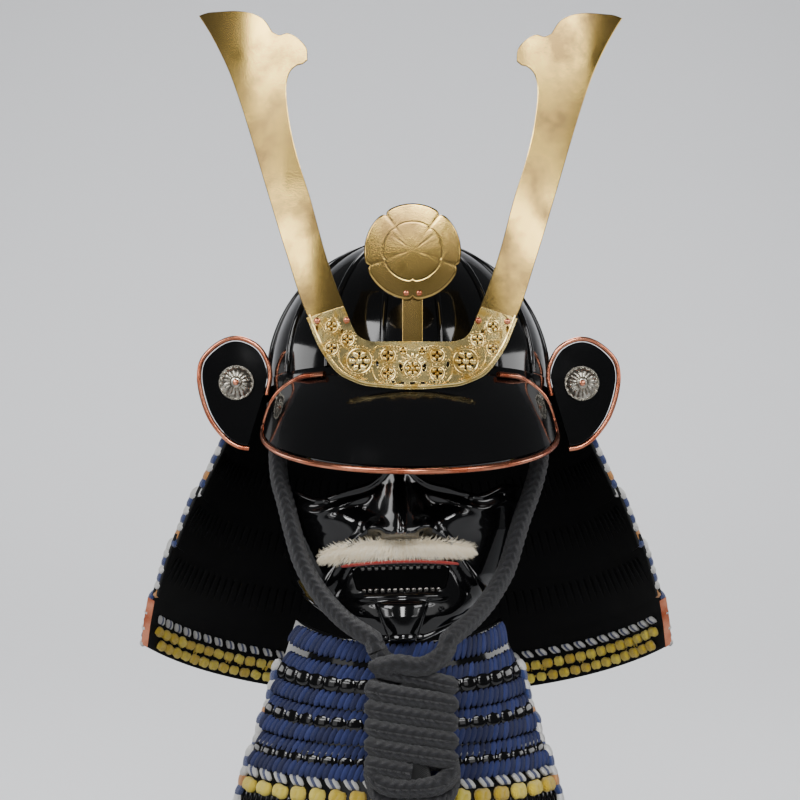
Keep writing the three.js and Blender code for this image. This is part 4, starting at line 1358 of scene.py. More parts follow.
    def fan(self) -> Shape:
        """A fan of seven small leaves above the middle flower."""
        x, z = self.holder_spot(0, 0.25)
        turn = np.radians(np.linspace(-62, 62, 7))
        way = stack(np.sin(turn), 0.0, np.cos(turn))
        side = stack(np.cos(turn), 0.0, -np.sin(turn))
        centre = np.array([x, 0.0, z])
        rows = centre + way * 9.6
        rows = self.place(rows[:, 0], rows[:, 2])
        return stamp(ball(8, 7), rows, side, way, FORWARD, np.array([1.3, 3.0, 0.9]))

    def scrolls(self) -> Shape:
        """Low curling stems between the flowers of each arm, as thin bars."""
        stems = []
        for side in (-1, 1):
            for points in HOLDER_STEMS:
                line = smooth_route([self.holder_spot(a, u, side) for a, u in points], 28)
                stems.append(tube(self.place(line[:, 0], line[:, 1], -0.1), 0.6, 6))
        return joined(stems)

    def horn_outline(self, side: int) -> Array:
        """The horn's outline from its foot up the outer edge and back down the inner edge, in millimetres."""
        runs = ((HORN_OUTER, 70), (HORN_TOP, 30), (HORN_COMB, 26), (HORN_INNER, 70))
        rows = np.vstack([smooth_route(run, count)[:-1] for run, count in runs] + [[HORN_INNER[-1]]])
        up = self.bottom + rows[:, 1] * (self.horn_top - self.bottom)
        return stack(side * rows[:, 0] * self.horn_half_span, up)

    def make_crest(self) -> None:
        """The lobed disc: nearly flat, with a faint engraved ring and fine lines inside it.

        Its height is 1 + 0.5 * cos(share of the radius * pi / 2) millimetres, less a groove at each line.
        """
        turn = (np.arange(180) / 180 * TURN)[None, :]
        share = np.concatenate([np.linspace(*run) for run in CREST_RINGS])[:, None]
        wave = np.sin(turn / TURN * self.lobes * math.pi)
        radius = self.crest_radius * (1 - 0.07 * (1 - np.abs(wave)) ** 8)
        lines = np.abs(np.sin(turn * 3.5)) ** 60 * soft_step(share, 0.1, 0.2)
        lines = lines * (1 - soft_step(share, 0.5, 0.56))
        groove = 0.08 * bump(share - 0.61, 0.012)
        notch = 0.05 * bump(wave, 0.04) * soft_step(share, 0.7, 0.8)
        edge = 0.8 * soft_step(share, 0.97, 1.0)
        high = 1.0 + 0.5 * np.cos(share * math.pi / 2) - groove - 0.025 * lines - notch - edge
        face = self.place(np.zeros(1), np.full(1, self.crest_centre))[0, 1] - 0.4
        x, z = share * radius * np.sin(turn), self.crest_centre - share * radius * np.cos(turn)
        lean = self.lean * (z - self.crest_centre)
        front = stack(x, face - high - lean, z)
        back = stack(x, face + 2.2 - lean, z)
        rings = np.concatenate([front, back[::-1]])
        dress("lobed_crest_disc", skin(rings), Finish.BRASS, "crest_disc", sharp=50)

    def make_rivets(self) -> None:
        """Domed copper rivets that hold the horns to the holder and the disc to its post."""
        head = turned(RIVET_HEAD, 24)
        for name in RIVETS:
            low, high = (np.array(corner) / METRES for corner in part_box(name))
            middle = (low + high) / 2
            middle[1] = high[1]
            radius = (high[0] - low[0]) / 2
            sizes = np.array([radius, radius, (high[1] - low[1]) * 1.15])
            cap = stamp(head, middle[None], RIGHT, UP, FORWARD, sizes)
            dress("domed_" + name, cap, Finish.COPPER, name, sharp=60)


EAR_OUTLINE = (
    (0.05, 0.49), (0, 0.69), (0.12, 0.89), (0.33, 0.985), (0.56, 1), (0.8, 0.92), (0.97, 0.79), (1, 0.66),
    (0.95, 0.48), (0.85, 0.3), (0.72, 0.17), (0.57, 0.07), (0.42, 0.015), (0.28, 0),
)
# share of the radius and millimetres of height, from the edge to the middle
ROSETTE = (
    (1, 0), (1, 1.2), (0.97, 1.9), (0.93, 1.9), (0.9, 1.3), (0.86, 1.6), (0.78, 3.2), (0.66, 4.3), (0.5, 4.9),
    (0.36, 5.0), (0.33, 4.4), (0.3, 4.9), (0.2, 5.4), (0.06, 5.5),
)
ROSETTE_STUD = ((0, 0), (2.6, 0), (2.4, 0.9), (1.5, 1.5), (0, 1.7))


@dataclass
class Ear:
    """One turned-back end of the top neck lame, with its copper rim and a round silvery crest."""

    side: Side
    inner_edge: float = 116.5
    width: float = 53.0
    height: float = 85.0
    bottom: float = -57.0
    plate: float = 2.4
    front: float = -48.6
    rim_radius: float = 2.0
    crest_radius: float = 14.5
    petals: int = 16
    middle: tuple[float, float] = (0.47, 0.55)

    def place(self, across: Array, up: Array, back: Array | float = 0.0) -> Array:
        """A point of the ear from millimetres outwards and up; its middle is hollowed by 1.4 mm."""
        x = np.asarray(across) / self.width - self.middle[0]
        z = np.asarray(up) / self.height - self.middle[1]
        hollow = 1.4 * bump(np.hypot(x, z), 0.42)
        depth = self.front + back - hollow + 0.5
        return stack(self.side.value * (self.inner_edge + across), depth, self.bottom + up)

    def build(self) -> None:
        """Makes plate, rim and crest."""
        scale = np.array([self.width, self.height])
        edge = smooth_route(EAR_OUTLINE, 90)
        plate = cut_plate([edge * scale], self.plate, 0.3, (4, 4), self.place)
        dress(f"ear_plate_{self.side.word}", plate, Finish.LACQUER, f"ear_{self.side.word}", sharp=20)
        away = unit((edge - self.middle) * scale)
        route = edge * scale + away * (self.rim_radius + 0.7)
        bar = tube(self.place(route[:, 0], route[:, 1], self.plate / 2), self.rim_radius, 14)
        dress(f"rim_of_ear_{self.side.word}", bar, Finish.COPPER, f"ear_rim_{self.side.word}")
        self.make_crest()

    def make_crest(self) -> None:
        """The crest: a round boss with sixteen petals, a ring at its edge and a copper stud in its middle."""
        low, high = (np.array(corner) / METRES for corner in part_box(f"ear_crest_{self.side.word}"))
        centre = (low + high) / 2
        back = high[1]
        turn = (np.arange(128) / 128 * TURN)[None, :]
        rows = np.array(ROSETTE)
        share, out = rows[:, :1], rows[:, 1:]
        on_petals = soft_step(share, 0.36, 0.5) * (1 - soft_step(share, 0.84, 0.9))
        out = out - on_petals * 0.9 * (1 - np.abs(np.sin(turn * self.petals / 2))) ** 1.5
        radius = self.crest_radius * share
        rings = stack(centre[0] + radius * np.sin(turn), back - out, centre[2] - radius * np.cos(turn))
        crest = f"ear_crest_{self.side.word}"
        dress(f"rosette_{self.side.word}", skin(rings), Finish.SILVER, crest, sharp=50)
        place = np.array([[centre[0], back - 5.2, centre[2]]])
        stud = stamp(turned(ROSETTE_STUD, 20), place, RIGHT, UP, FORWARD, np.ones(3))
        dress(f"stud_{self.side.word}", stud, Finish.COPPER)


HUMP_LEAN = -24.0
KNOT_LEAN = 38.0
BRAID_LEAN = 18.0
BRAID_PITCH = 7.6
BRAID_TONES = (0.1, 0.5, 0.7, 0.5, 0.1, 0.95, 0.5, 0.7)
# where each strand of a knot lies, as a share of half its width, and its tone
KNOT_STRANDS = ((-0.55, 0.1), (0.0, 0.5), (0.55, 0.7))


class Row(NamedTuple):
    """A row of knots or tufts across a guard.

    Attributes:
        down: Share of the guard's height.
        number: The lame on which it lies.
        pitch: Spacing, in millimetres.
        half: Half the size of a knot or tuft, in millimetres.
        shift: Moves the row along by this share of the pitch.
        inward: Whether it is on the inside.
        span: How far it runs towards the ends, as a share.
    """

    down: float
    number: int
    pitch: float
    half: float
    shift: float = 0.0
    inward: bool = False
    span: float = 0.96


@dataclass
class LacedGuard:
    """Overlapping lames tied together with rows of blue lacing; a neck guard or a throat guard.

    Attributes:
        ends: The share of the guard's height where each lame ends.
        overlap: How far each lame starts above the end of the one before it, as a share.
        step: How far a lame's top stands proud of the guard's surface, in millimetres.
        thickness: Thickness of a lame.
        names: The frame's lames from the top.
        lacings: The frame's lacing bands.
        prefix: Start of the names of pieces that belong to no single lame.
        columns: Points across a lame.
        hump: Spacing of the humps of lacing.
        head_pitch: Spacing of the heads of the scales.
        edge: How far the edge braids stand from the middle, as a share.
    """

    ends: tuple[float, ...]
    overlap: float
    names: tuple[str, ...]
    lacings: tuple[str, ...]
    prefix: str
    step: float = 4.2
    thickness: float = 2.4
    columns: int = 121
    hump: float = 5.0
    head_pitch: float = 14.0
    edge: float = 0.985

    def place(self, u: Array, v: Array, proud: Array | float = 0.0) -> Array:
        """A point of the guard: u from -1 to 1 across, v from 0 to 1 down."""
        raise NotImplementedError

    def top(self, number: int) -> float:
        """The share of the height where a lame starts."""
        return 0.0 if number == 0 else self.ends[number - 1] - self.overlap

    def proud(self, number: int, down: Array | float) -> Array | float:
        """How far a lame's inner face stands proud at a share of the guard's height."""
        top = self.top(number)
        return 0.0 * down if number == 0 else self.step * (1 - (down - top) / (self.ends[number] - top))

    def lame(self, number: int) -> Shape:
        """One lame as a wall whose edges are slightly rounded."""
        u = np.linspace(-1, 1, self.columns)[None, :]
        v = np.concatenate([[0, 0.02], np.linspace(0.05, 0.95, 13), [0.98, 1.0]])[:, None]
        down = lerp(self.top(number), self.ends[number], v)
        u, down = np.broadcast_arrays(u, down)
        soft = self.thickness - 0.5 * ((v < 0.01) | (v > 0.99)) + 0 * u
        seat = self.proud(number, down)
        plate = wall(self.place(u, down, seat + soft), self.place(u, down, seat))
        plate.pick = np.repeat([0.0, 1.0], u.size)
        return plate

    def along_row(self, row: Row) -> tuple[Array, ...]:
        """The places of a row's knots or tufts, and directions across, up and away from the lame."""
        seat = float(self.proud(row.number, row.down)) + (-1.4 if row.inward else self.thickness + 1.2)
        spots, across, up, out = self.line(row.down, seat, row.pitch, row.span, row.shift)
        return spots, across, up, -out if row.inward else out

    def line(
        self, down: float, proud: float, pitch: float, span: float = 0.985, shift: float = 0.0
    ) -> tuple[Array, ...]:
        """Evenly spaced places along a row, with their frames.

        Args:
            down: Share of the guard's height.
            proud: Millimetres in front of the guard's surface.
            pitch: Spacing, in millimetres.
            span: How far the row runs towards the ends, as a share.
            shift: Moves every place along by this share of the pitch.

        Returns:
            The places, and directions across, up and out.
        """
        fine = np.linspace(-span, span, 900)
        spots = self.place(fine, np.full(900, down), proud)
        along = distances(spots)
        count = max(2, round(along[-1] / pitch))
        wanted = (np.arange(count) + 0.5 + shift) * along[-1] / count
        u = np.interp(wanted[wanted < along[-1]], along, fine)
        return surface_frame(lambda a, b: self.place(a, b, proud), u, np.full(len(u), down))

    def humps(self, down: float, number: int, tall: float = 7.6, span: float = 0.985) -> Shape:
        """A row of slanting twisted humps of lacing, each a leaning ball with an uneven tone."""
        seat = float(self.proud(number, down)) + self.thickness + 1.4
        spots, across, up, out = self.line(down, seat, self.hump, span)
        across, up = leaning(across, up, HUMP_LEAN)
        random = np.random.default_rng(int(down * 1000) + number)
        sizes = np.array([2.75, tall, 2.3]) * random.uniform(0.94, 1.07, (len(spots), 3))
        return stamp(ball(8, 8, 0.85), spots, across, up, out, sizes, random.uniform(0.15, 0.85, len(spots)))

    def heads(self, number: int, share: float = 0.12) -> Shape:
        """The rounded heads of a lame's scales, as a row of flattened balls along its top."""
        down = lerp(self.top(number), self.ends[number], share)
        seat = float(self.proud(number, down)) + self.thickness - 0.2
        spots, across, up, out = self.line(down, seat, self.head_pitch)
        sizes = np.array([self.head_pitch * 0.5, 6.0, 1.7])
        return stamp(ball(12, 8, 0.8), spots, across, up, out, sizes)

    def edge_braid(self, end: int) -> Shape:
        """A braid of white, blue and orange loops down one side edge of all the laced lames."""
        fine = np.linspace(self.ends[0] - self.overlap, 0.995, 500)
        number = np.clip(np.searchsorted(self.ends, fine), 1, len(self.ends) - 1)
        seat = np.array([float(self.proud(int(n), f)) for n, f in zip(number, fine)]) + self.thickness + 1.2
        along = distances(self.place(np.full(500, end * self.edge), fine, seat))
        count = round(along[-1] / BRAID_PITCH)
        wanted = (np.arange(count) + 0.5) * along[-1] / count
        down, proud = np.interp(wanted, along, fine), np.interp(wanted, along, seat)
        at_edge = np.full(count, end * self.edge)
        spots, across, up, out = surface_frame(lambda a, b: self.place(a, b, proud), at_edge, down)
        lean = np.where(np.arange(count) % 2 == 0, BRAID_LEAN, -BRAID_LEAN) * end
        across, up = leaning(across, up, lean)
        tones = np.array(BRAID_TONES)[np.arange(count) % len(BRAID_TONES)]
        return stamp(ball(10, 8, 0.8), spots, across, up, out, np.array([3.9, 6.0, 3.2]), tones)

    def knots(self, row: Row) -> Shape:
        """A row of white and blue variegated knots, three leaning strands to a knot."""
        spots, across, up, out = self.along_row(row)
        wide, tall = leaning(across, up, KNOT_LEAN)
        sizes = np.array([row.half * 0.36, row.half, row.half * 0.5])
        parts = []
        for shift, tone in KNOT_STRANDS:
            places, tones = spots + across * shift * row.half, np.full(len(spots), tone)
            parts.append(stamp(ball(8, 7, 0.8), places, wide, tall, out, sizes, tones))
        return joined(parts)

    def tufts(self, row: Row) -> Shape:
        """A row of puffy yellow tufts: boxy balls crossed by two rounded folds."""
        spots, across, up, out = self.along_row(row)
        random = np.random.default_rng(int(row.down * 1000))
        puff = ball(14, 9, 0.78)
        x, y = puff.spots[:, 0], puff.spots[:, 1]
        fold = 1 - 0.16 * bump(x - 0.35 * y, 0.16) - 0.1 * bump(y + 0.3 * x, 0.14)
        puff = puff.moved(lambda s: s * fold[:, None])
        wide, tall = leaning(across, up, random.uniform(-14, 14, len(spots)))
        sizes = np.array([row.half, row.half * 0.95, row.half * 0.8])
        sizes = sizes * random.uniform(0.92, 1.06, (len(spots), 3))
        return stamp(puff, spots, wide, tall, out, sizes, random.uniform(0.3, 0.9, len(spots)))

    def build_lames(self) -> None:
        """Makes every lame and the heads of its scales."""
        for number, name in enumerate(self.names):
            dress(f"lacquered_{name}", self.lame(number), Finish.LACQUER, name)
        heads = joined([self.heads(n) for n in range(1, len(self.names))])
        dress(f"{self.prefix}_scale_heads", heads, Finish.LACQUER)
        braids = joined([self.edge_braid(end) for end in (-1, 1)])
        dress(f"{self.prefix}_edge_braid", braids, Finish.BRAID)


# where the bosses of a corner plate lie, as shares inwards from its end and down the guard
CORNER_BOSSES = ((0.022, 0.875), (0.022, 0.95), (0.075, 0.875), (0.075, 0.95), (0.125, 0.912))


@dataclass
class NeckGuard(LacedGuard):
    """The wide flared neck guard of five lames round the sides and back."""

    ends: tuple[float, ...] = (0.224, 0.418, 0.612, 0.806, 1.0)
    overlap: float = 8 / 215
    names: tuple[str, ...] = tuple(f"neck_lame_{n}" for n in range(1, 6))
    lacings: tuple[str, ...] = tuple(f"neck_lacing_{n}" for n in range(2, 6))
    prefix: str = "neck"
    columns: int = 181
    hump: float = 5.6
    top_half_width: float = 120.3
    top_half_depth: float = 136.3
    height: float = 215.0
    bottom_radius: float = 240.0
    bottom_forward: float = 55.0
    top_below: float = 7.0
    front_top: float = -45.0
    front_bottom: float = 35.0
    back_drop: float = 0.335

    def place(self, u: Array, v: Array, proud: Array | float = 0.0) -> Array:
        """A point of the guard; each level is part of an oval that widens and moves forward downwards."""
        u, v = np.broadcast_arrays(np.asarray(u, float), np.asarray(v, float))
        half_width = lerp(self.top_half_width, self.bottom_radius, v)
        half_depth = lerp(self.top_half_depth, self.bottom_radius, v)
        middle = -self.bottom_forward * v
        front = lerp(self.front_top, self.front_bottom, np.abs(v) ** 1.6)
        turn = lerp(math.pi / 2, np.arcsin((front - middle) / half_depth), np.abs(u))
        side = np.where(u < 0, -1.0, 1.0)
        y = middle + half_depth * np.sin(turn)
        z = -self.top_below - self.height * v - self.back_drop * (y - front) * v
        slope = (self.bottom_radius - self.top_half_width) / self.height
        out = unit(stack(side * np.cos(turn), np.sin(turn), slope))
        return stack(side * half_width * np.cos(turn), y, z) + out * np.asarray(proud)[..., None]

    def build(self) -> None:
        """Makes lames, lacing, knots, tufts and bosses, and gives the frame's strips and corner plates their
        finishes.
        """
        self.build_lames()
        for number, name in enumerate(self.lacings, start=1):
            top, end = self.top(number), self.ends[number]
            shares = (0.36, 0.64) if number < 4 else (0.26, 0.45)
            rows = [self.humps(lerp(top, end, s), number, span=0.975) for s in shares]
            dress(f"humps_{name}", joined(rows), Finish.BLUE, name)
        knots = (Row(0.61, 4, 12.5, 4.6, span=0.9), Row(0.47, 4, 14.0, 4.4, inward=True))
        dress("neck_knots", joined([self.knots(self.on_last(row)) for row in knots]), Finish.BRAID)
        tufts = (
            Row(0.75, 4, 13.6, 5.0, span=0.86),
            Row(0.9, 4, 13.6, 5.0, 0.5, span=0.86),
            Row(0.66, 4, 12.2, 4.8, inward=True),
            Row(0.86, 4, 12.2, 4.8, 0.5, inward=True),
        )
        dress("neck_tufts", joined([self.tufts(self.on_last(row)) for row in tufts]), Finish.TUFT)
        dress("inner_laces", self.inner_laces(), Finish.LACQUER)
        for side in Side:
            for start, finish in (("edge_strip", Finish.COPPER), ("corner_plate", Finish.GILT)):
                node = bpy.data.objects[f"{start}_{side.word}"]
                node.data.materials.clear()
                node.data.materials.append(finish.material())
            dress(f"bosses_{side.word}", self.bosses(side.value), Finish.GILT)

    def on_last(self, row: Row) -> Row:
        """The row with a share of the last lame's height turned into one of the guard's height."""
        return row._replace(down=lerp(self.top(4), 1.0, row.down))

    def inner_laces(self) -> Shape:
        """Faint upright laces on the inside of the lames, as low lacquered bars."""
        size = np.array([1.2, 13.0, 0.7])
        parts = []
        for number in range(1, 4):
            down = lerp(self.top(number), self.ends[number], 0.5)
            spots, across, up, out = self.line(down, float(self.proud(number, down)) - 0.3, 9.0, 0.97)
            parts.append(stamp(ball(8, 7, 0.6), spots, across, up, -out, size, np.ones(len(spots))))
        return joined(parts)

    def bosses(self, end: int) -> Shape:
        """Raised flowers on a corner plate."""
        parts = []
        for along, down in CORNER_BOSSES:
            seat = float(self.proud(4, down)) + self.thickness + 2.6
            across = np.array([end * (self.edge - along)])
            facing = surface_frame(lambda a, b: self.place(a, b, seat), across, np.array([down]))
            parts.append(stamp(flower(5.0, 6, 1.3), *facing, np.ones(3)))
        return joined(parts)


# the rows of humps: share of the guard's height, and the lame on which each lies
THROAT_ROWS = ((0.06, 0), (0.185, 0), (0.305, 1), (0.385, 1), (0.475, 2), (0.555, 2), (0.645, 3))


@dataclass
class ThroatGuard(LacedGuard):
    """The bowed throat guard of four lames that hangs below the mask."""

    ends: tuple[float, ...] = (0.25, 0.44, 0.6, 1.0)
    overlap: float = 8 / 166
    names: tuple[str, ...] = tuple(f"throat_lame_{n}" for n in range(1, 5))
    lacings: tuple[str, ...] = tuple(f"throat_lacing_{n}" for n in range(1, 5))
    prefix: str = "throat"
    hump: float = 4.9
    head_pitch: float = 13.6
    middle: float = -9.0
    top_half_width: float = 79.0
    bottom_half_width: float = 130.0
    top_height: float = -197.0
    height: float = 166.0
    side_reach: float = 74.0
    front_reach: float = 124.0
    spread: float = 8.0
    dip: float = 17.0
    half_angle: float = math.radians(66)
    strips_down: float = 0.83

    def place(self, u: Array, v: Array, proud: Array | float = 0.0) -> Array:
        """A point of the guard; its upper rows dip under the chin."""
        u, v = np.broadcast_arrays(np.asarray(u, float), np.asarray(v, float))
        half_width = lerp(self.top_half_width, self.bottom_half_width, v)
        turn = u * self.half_angle
        bow = (np.cos(turn) - math.cos(self.half_angle)) / (1 - math.cos(self.half_angle))
        spot = stack(
            self.middle + half_width * np.sin(turn) / math.sin(self.half_angle),
            -lerp(self.side_reach, self.front_reach, bow) - self.spread * v,
            self.top_height - self.height * v - self.dip * (1 - u * u) * (1 - 0.7 * v),
        )
        return spot + unit(stack(np.sin(turn), -np.cos(turn), 0.15)) * np.asarray(proud)[..., None]

    def build(self) -> None:
        """Makes lames, lacing, knots, tufts and the plates between the knots."""
        self.build_lames()
        for number, name in enumerate(self.lacings):
            tall = 9.4 if number == 0 else 7.2
            humps = [self.humps(down, n, tall, 0.965) for down, n in THROAT_ROWS if n == number]
            dress(f"humps_{name}", joined(humps), Finish.BLUE, name)
        dress("throat_knots", self.knots(Row(0.7, 3, 15.0, 5.2)), Finish.BRAID)
        tufts = [self.tufts(Row(0.762, 3, 15.5, 6.6)), self.tufts(Row(0.9, 3, 15.5, 6.6, 0.5))]
        dress("throat_tufts", joined(tufts), Finish.TUFT)
        seat = float(self.proud(3, self.strips_down)) + self.thickness
        spots, across, up, out = self.line(self.strips_down, seat, 5.2)
        strips = stamp(ball(8, 7, 0.5), spots, across, up, out, np.array([2.2, 8.5, 0.9]))
        dress("throat_plate_strips", strips, Finish.LACQUER)


@dataclass(frozen=True)
class Hill:
    """A smooth hill or, if its height is below zero, a hollow on each side of the mask, in millimetres."""

    height: float
    middle: float
    wide: float
    level: float
    tall: float
    slope: float = 0.0

    def at(self, far: Array, z: Array) -> Array:
        """Its height at a distance from the middle line and a height on the mask."""
        above = z - self.level - self.slope * (far - self.middle)
        return self.height * bump(far - self.middle, self.wide) * bump(above, self.tall)


CHEEK = Hill(8.5, 50, 19, -116, 14, slope=0.2)
NOSE_WING = Hill(8.0, 18.5, 6.5, -127, 6.5)
NOSTRIL = Hill(-9.0, 18, 4.2, -132, 3.6)
JAW = Hill(3.5, 44, 12, -190, 10, slope=0.35)
EYE_HOLLOW = Hill(-2.0, 30, 9, -112, 9)


class Strip(NamedTuple):
    """The sizes of a strip laid on the mask's face, in millimetres.

    Attributes:
        half: Half its length.
        middle: Height of its middle line under the nose.
        tall: Its height there.
        thick: How far its middle stands out.
        droop: How far its ends hang below its middle.
        low: How far its back stands off the mask.
    """

    half: float
    middle: float
    tall: float
    thick: float
    droop: float
    low: float


MOUSTACHE = Strip(58, -142.8, 11.5, 4.5, 4, 1.0)
LIP_LINE = Strip(50, -152.6, 2.8, 2.6, 3.2, 1.6)
MASK_RIVETS = ((-53.0, -104.5), (53.0, -104.5), (-30.0, -190.0), (30.0, -190.0))
MASK_RIVET = ((0, 0), (2.6, 0), (2.3, 0.9), (1.3, 1.5), (0, 1.7))


@dataclass
class FaceMask:
    """The black lacquered half mask with its moustache, red felt line, teeth and rivets.

    Attributes:
        widths: Share of the half width at each share of the height.
        depths: Share of the depth at each share of the height.
        nose: Share of the nose's reach at each share of the height.
        rows: Grid rows above, across and below the mouth.
        columns: Grid columns from the middle to a corner of the mouth, and again to the mask's side.
    """

    shift: float = -9.0
    roll: float = math.radians(-1.5)
    pivot_below: float = 130.0
    half_width: float = 98.0
    side_back: float = 38.0
    front: float = 128.0
    top: float = -92.0
    chin: float = -213.0
    wall: float = 2.4
    nose_reach: float = 31.0
    nose_half_width: float = 16.0
    mouth_half: float = 0.28
    mouth_top: float = -155.0
    mouth_bottom: float = -176.5
    widths: tuple = ((0, 1), (0.3, 0.99), (0.6, 0.89), (0.85, 0.68), (1, 0.5))
    depths: tuple = ((0, 0.9), (0.3, 0.95), (0.6, 0.96), (0.85, 1.01), (1, 0.98))
    nose: tuple = (
        (-0.1, 0.5), (0.05, 0.68), (0.2, 0.9), (0.3, 0.99), (0.325, 1), (0.345, 0.75), (0.365, 0.2),
        (0.38, 0), (1, 0),
    )
    rows: tuple[int, int, int] = (76, 14, 44)
    columns: int = 46
    hair_count: int = 4600

    def top_edge(self, u: Array) -> Array:
        """Height of the mask's top edge: over the nose it rises, under the eyes it dips."""
        return self.top + 16 * bump(u, 0.1) - 9 * bump(np.abs(u) - 0.42, 0.16)

    def lower_edge(self, u: Array) -> Array:
        """Height of the mask's lower edge, which rises from the chin to the cheeks."""
        return self.chin + 60 * np.maximum(0, np.abs(u) - 0.2) ** 1.3

    def at_height(self, u: Array, z: Array, proud: Array | float = 0.0) -> Array:
        """A point of the mask at a turn and a height, before the mask is shifted into place."""
        share = (self.top - z) / (self.top - self.chin)
        wide = self.half_width * from_table(self.widths, share)
        deep = (self.front - self.side_back) * from_table(self.depths, share)
        turn = np.asarray(u) * math.pi / 2
        nose_width = self.nose_half_width * lerp(0.6, 1.15, np.clip(share / 0.35, 0, 1))
        x = (wide + proud) * np.sin(turn)
        nose = self.nose_reach * from_table(self.nose, share) * bump(x, nose_width)
        return stack(x, -self.side_back - (deep + proud) * np.cos(turn) - nose, z)

    def settle(self, spots: Array) -> Array:
        """Turns and shifts points of the mask to where it hangs."""
        x, y, z = spots[..., 0], spots[..., 1], spots[..., 2]
        cos, sin = math.cos(self.roll), math.sin(self.roll)
        across = x * cos + z * sin + self.shift + self.pivot_below * sin
        return stack(across, y, z * cos - x * sin + self.pivot_below * (cos - 1))

    def lift(self, u: Array, z: Array) -> Array:
        """How far features stand out, as a sum of smooth hills and grooves in millimetres.

        They are the rolled edges, the fold under the eye, cheek and nose, the fold from nose to chin, upper lip,
        lower lip and the groove under it, chin, jaw and eye hollow.
        """
        far = np.abs(self.at_height(u, z)[..., 0])
        below_top = self.top_edge(u) - z
        above_low = z - self.lower_edge(u)
        rolled = 2.6 * bump(below_top - 2.2, 2.4) + 1.6 * bump(above_low - 1.6, 1.8)
        eye_fold = 1.6 * bump(below_top - 9 - 0.05 * far, 2.6) * soft_step(far, 16, 30)
        aside = (far - 27) - 0.62 * (-134 - z)
        ridge = 4.2 * bump(aside - 6, 5.0) * soft_step(-z, 126, 140) * (1 - soft_step(-z, 172, 188))
        groove = -2.4 * bump(aside + 1, 3.2) * soft_step(-z, 126, 138) * (1 - soft_step(-z, 170, 184))
        features = [
            rolled,
            eye_fold,
            CHEEK.at(far, z),
            NOSE_WING.at(far, z),
            NOSTRIL.at(far, z),
            ridge + groove,
            2.0 * bump(z - self.mouth_top - 3, 3.0) * (1 - soft_step(far, 30, 42)),
            2.6 * bump(z - self.mouth_bottom + 3.4, 2.6) * (1 - soft_step(far, 26, 40)),
            -1.0 * bump(z - self.mouth_bottom + 7.5, 2.2) * (1 - soft_step(far, 18, 30)),
            self.chin_dome(far, z),
            JAW.at(far, z),
            EYE_HOLLOW.at(far, z),
        ]
        return sum(features)

    @staticmethod
    def chin_dome(far: Array, z: Array) -> Array:
        """The chin: a dome with a steep edge that narrows downwards."""
        chin_half = 19.5 - 0.36 * (-184 - z)
        dome = 1 - np.clip(far / (chin_half + 3.5), 0, 1) ** 2.2
        chin = (3.0 + 5.5 * dome) * (1 - soft_step(far - chin_half, -1.4, 1.6)) * soft_step(-z, 180.5, 185.5)
        return chin * (0.75 + 0.25 * soft_step(-z, 184, 206))

    def turn_at(self, x: Array, z: Array) -> Array:
        """The turn, from -1 to 1, of a place on the mask at millimetres across and up."""
        share = (self.top - z) / (self.top - self.chin)
        wide = self.half_width * from_table(self.widths, share)
        return np.arcsin(np.clip(x / wide, -1, 1)) / (math.pi / 2)

    def on_face(self, x: Array, z: Array, proud: Array | float = 0.0) -> Array:
        """The place on the finished mask at millimetres across and up."""
        u = self.turn_at(x, z)
        return self.settle(self.at_height(u, z, self.lift(u, z) + proud))

    def grid(self) -> tuple[Array, Array, Array]:
        """The mask's grid, whose lines follow the mouth.

        Returns:
            Turns, heights, and which cells there are: none in the mouth.
        """
        inner = np.linspace(0, self.mouth_half, self.columns)
        outer = np.linspace(self.mouth_half, 1, self.columns)[1:]
        u = np.concatenate([-outer[::-1], -inner[:0:-1], inner, outer])[None, :]
        far = soft_step(np.abs(u), 0.34, 1.0)
        bend = np.clip((np.abs(u) - 0.7 * self.mouth_half) / (0.3 * self.mouth_half), 0, 1)
        corner = 3.2 * bend**2 * (np.abs(u) < 0.5)
        levels = [
            self.top_edge(u),
            self.mouth_top - corner + 16 * far,
            self.mouth_bottom + corner + 30 * far,
            self.lower_edge(u),
        ]
        runs = [
            lerp(above, below, np.linspace(0, 1, count + 1)[:-1, None])
            for above, below, count in zip(levels, levels[1:], self.rows)
        ]
        z = np.vstack([*runs, lerp(levels[-2], levels[-1], 1.0)])
        u = np.broadcast_to(u, z.shape)
        keep = np.ones((z.shape[0] - 1, z.shape[1] - 1), bool)
        middle = np.abs(u[0, 1:] + u[0, :-1]) / 2 < self.mouth_half
        keep[self.rows[0] : self.rows[0] + self.rows[1], middle] = False
        return u, z, keep

    def build(self) -> None:
        """Makes the face and everything on it."""
        u, z, keep = self.grid()
        lift = self.lift(u, z)
        outer = self.settle(self.at_height(u, z, lift))
        inner = self.settle(self.at_height(u, z, lift - self.wall))
        dress("lacquered_mask", wall(outer, inner, keep=keep), Finish.LACQUER, "mask", sharp=55)
        self.make_teeth()
        self.make_moustache()
        self.make_rivets()

    def make_rivets(self) -> None:
        """Low domed rivets on the cheeks and the jaw."""
        x, z = np.array(MASK_RIVETS).T
        rivets = self.on_face(x, z, 0.1)
        head = turned(MASK_RIVET, 18)
        away = unit(rivets - np.array([self.shift, 30.0, -130.0]))
        side = unit(np.cross(UP, away))
        heads = stamp(head, rivets, side, np.cross(away, side), away, np.ones(3))
        dress("mask_rivets", heads, Finish.LACQUER)

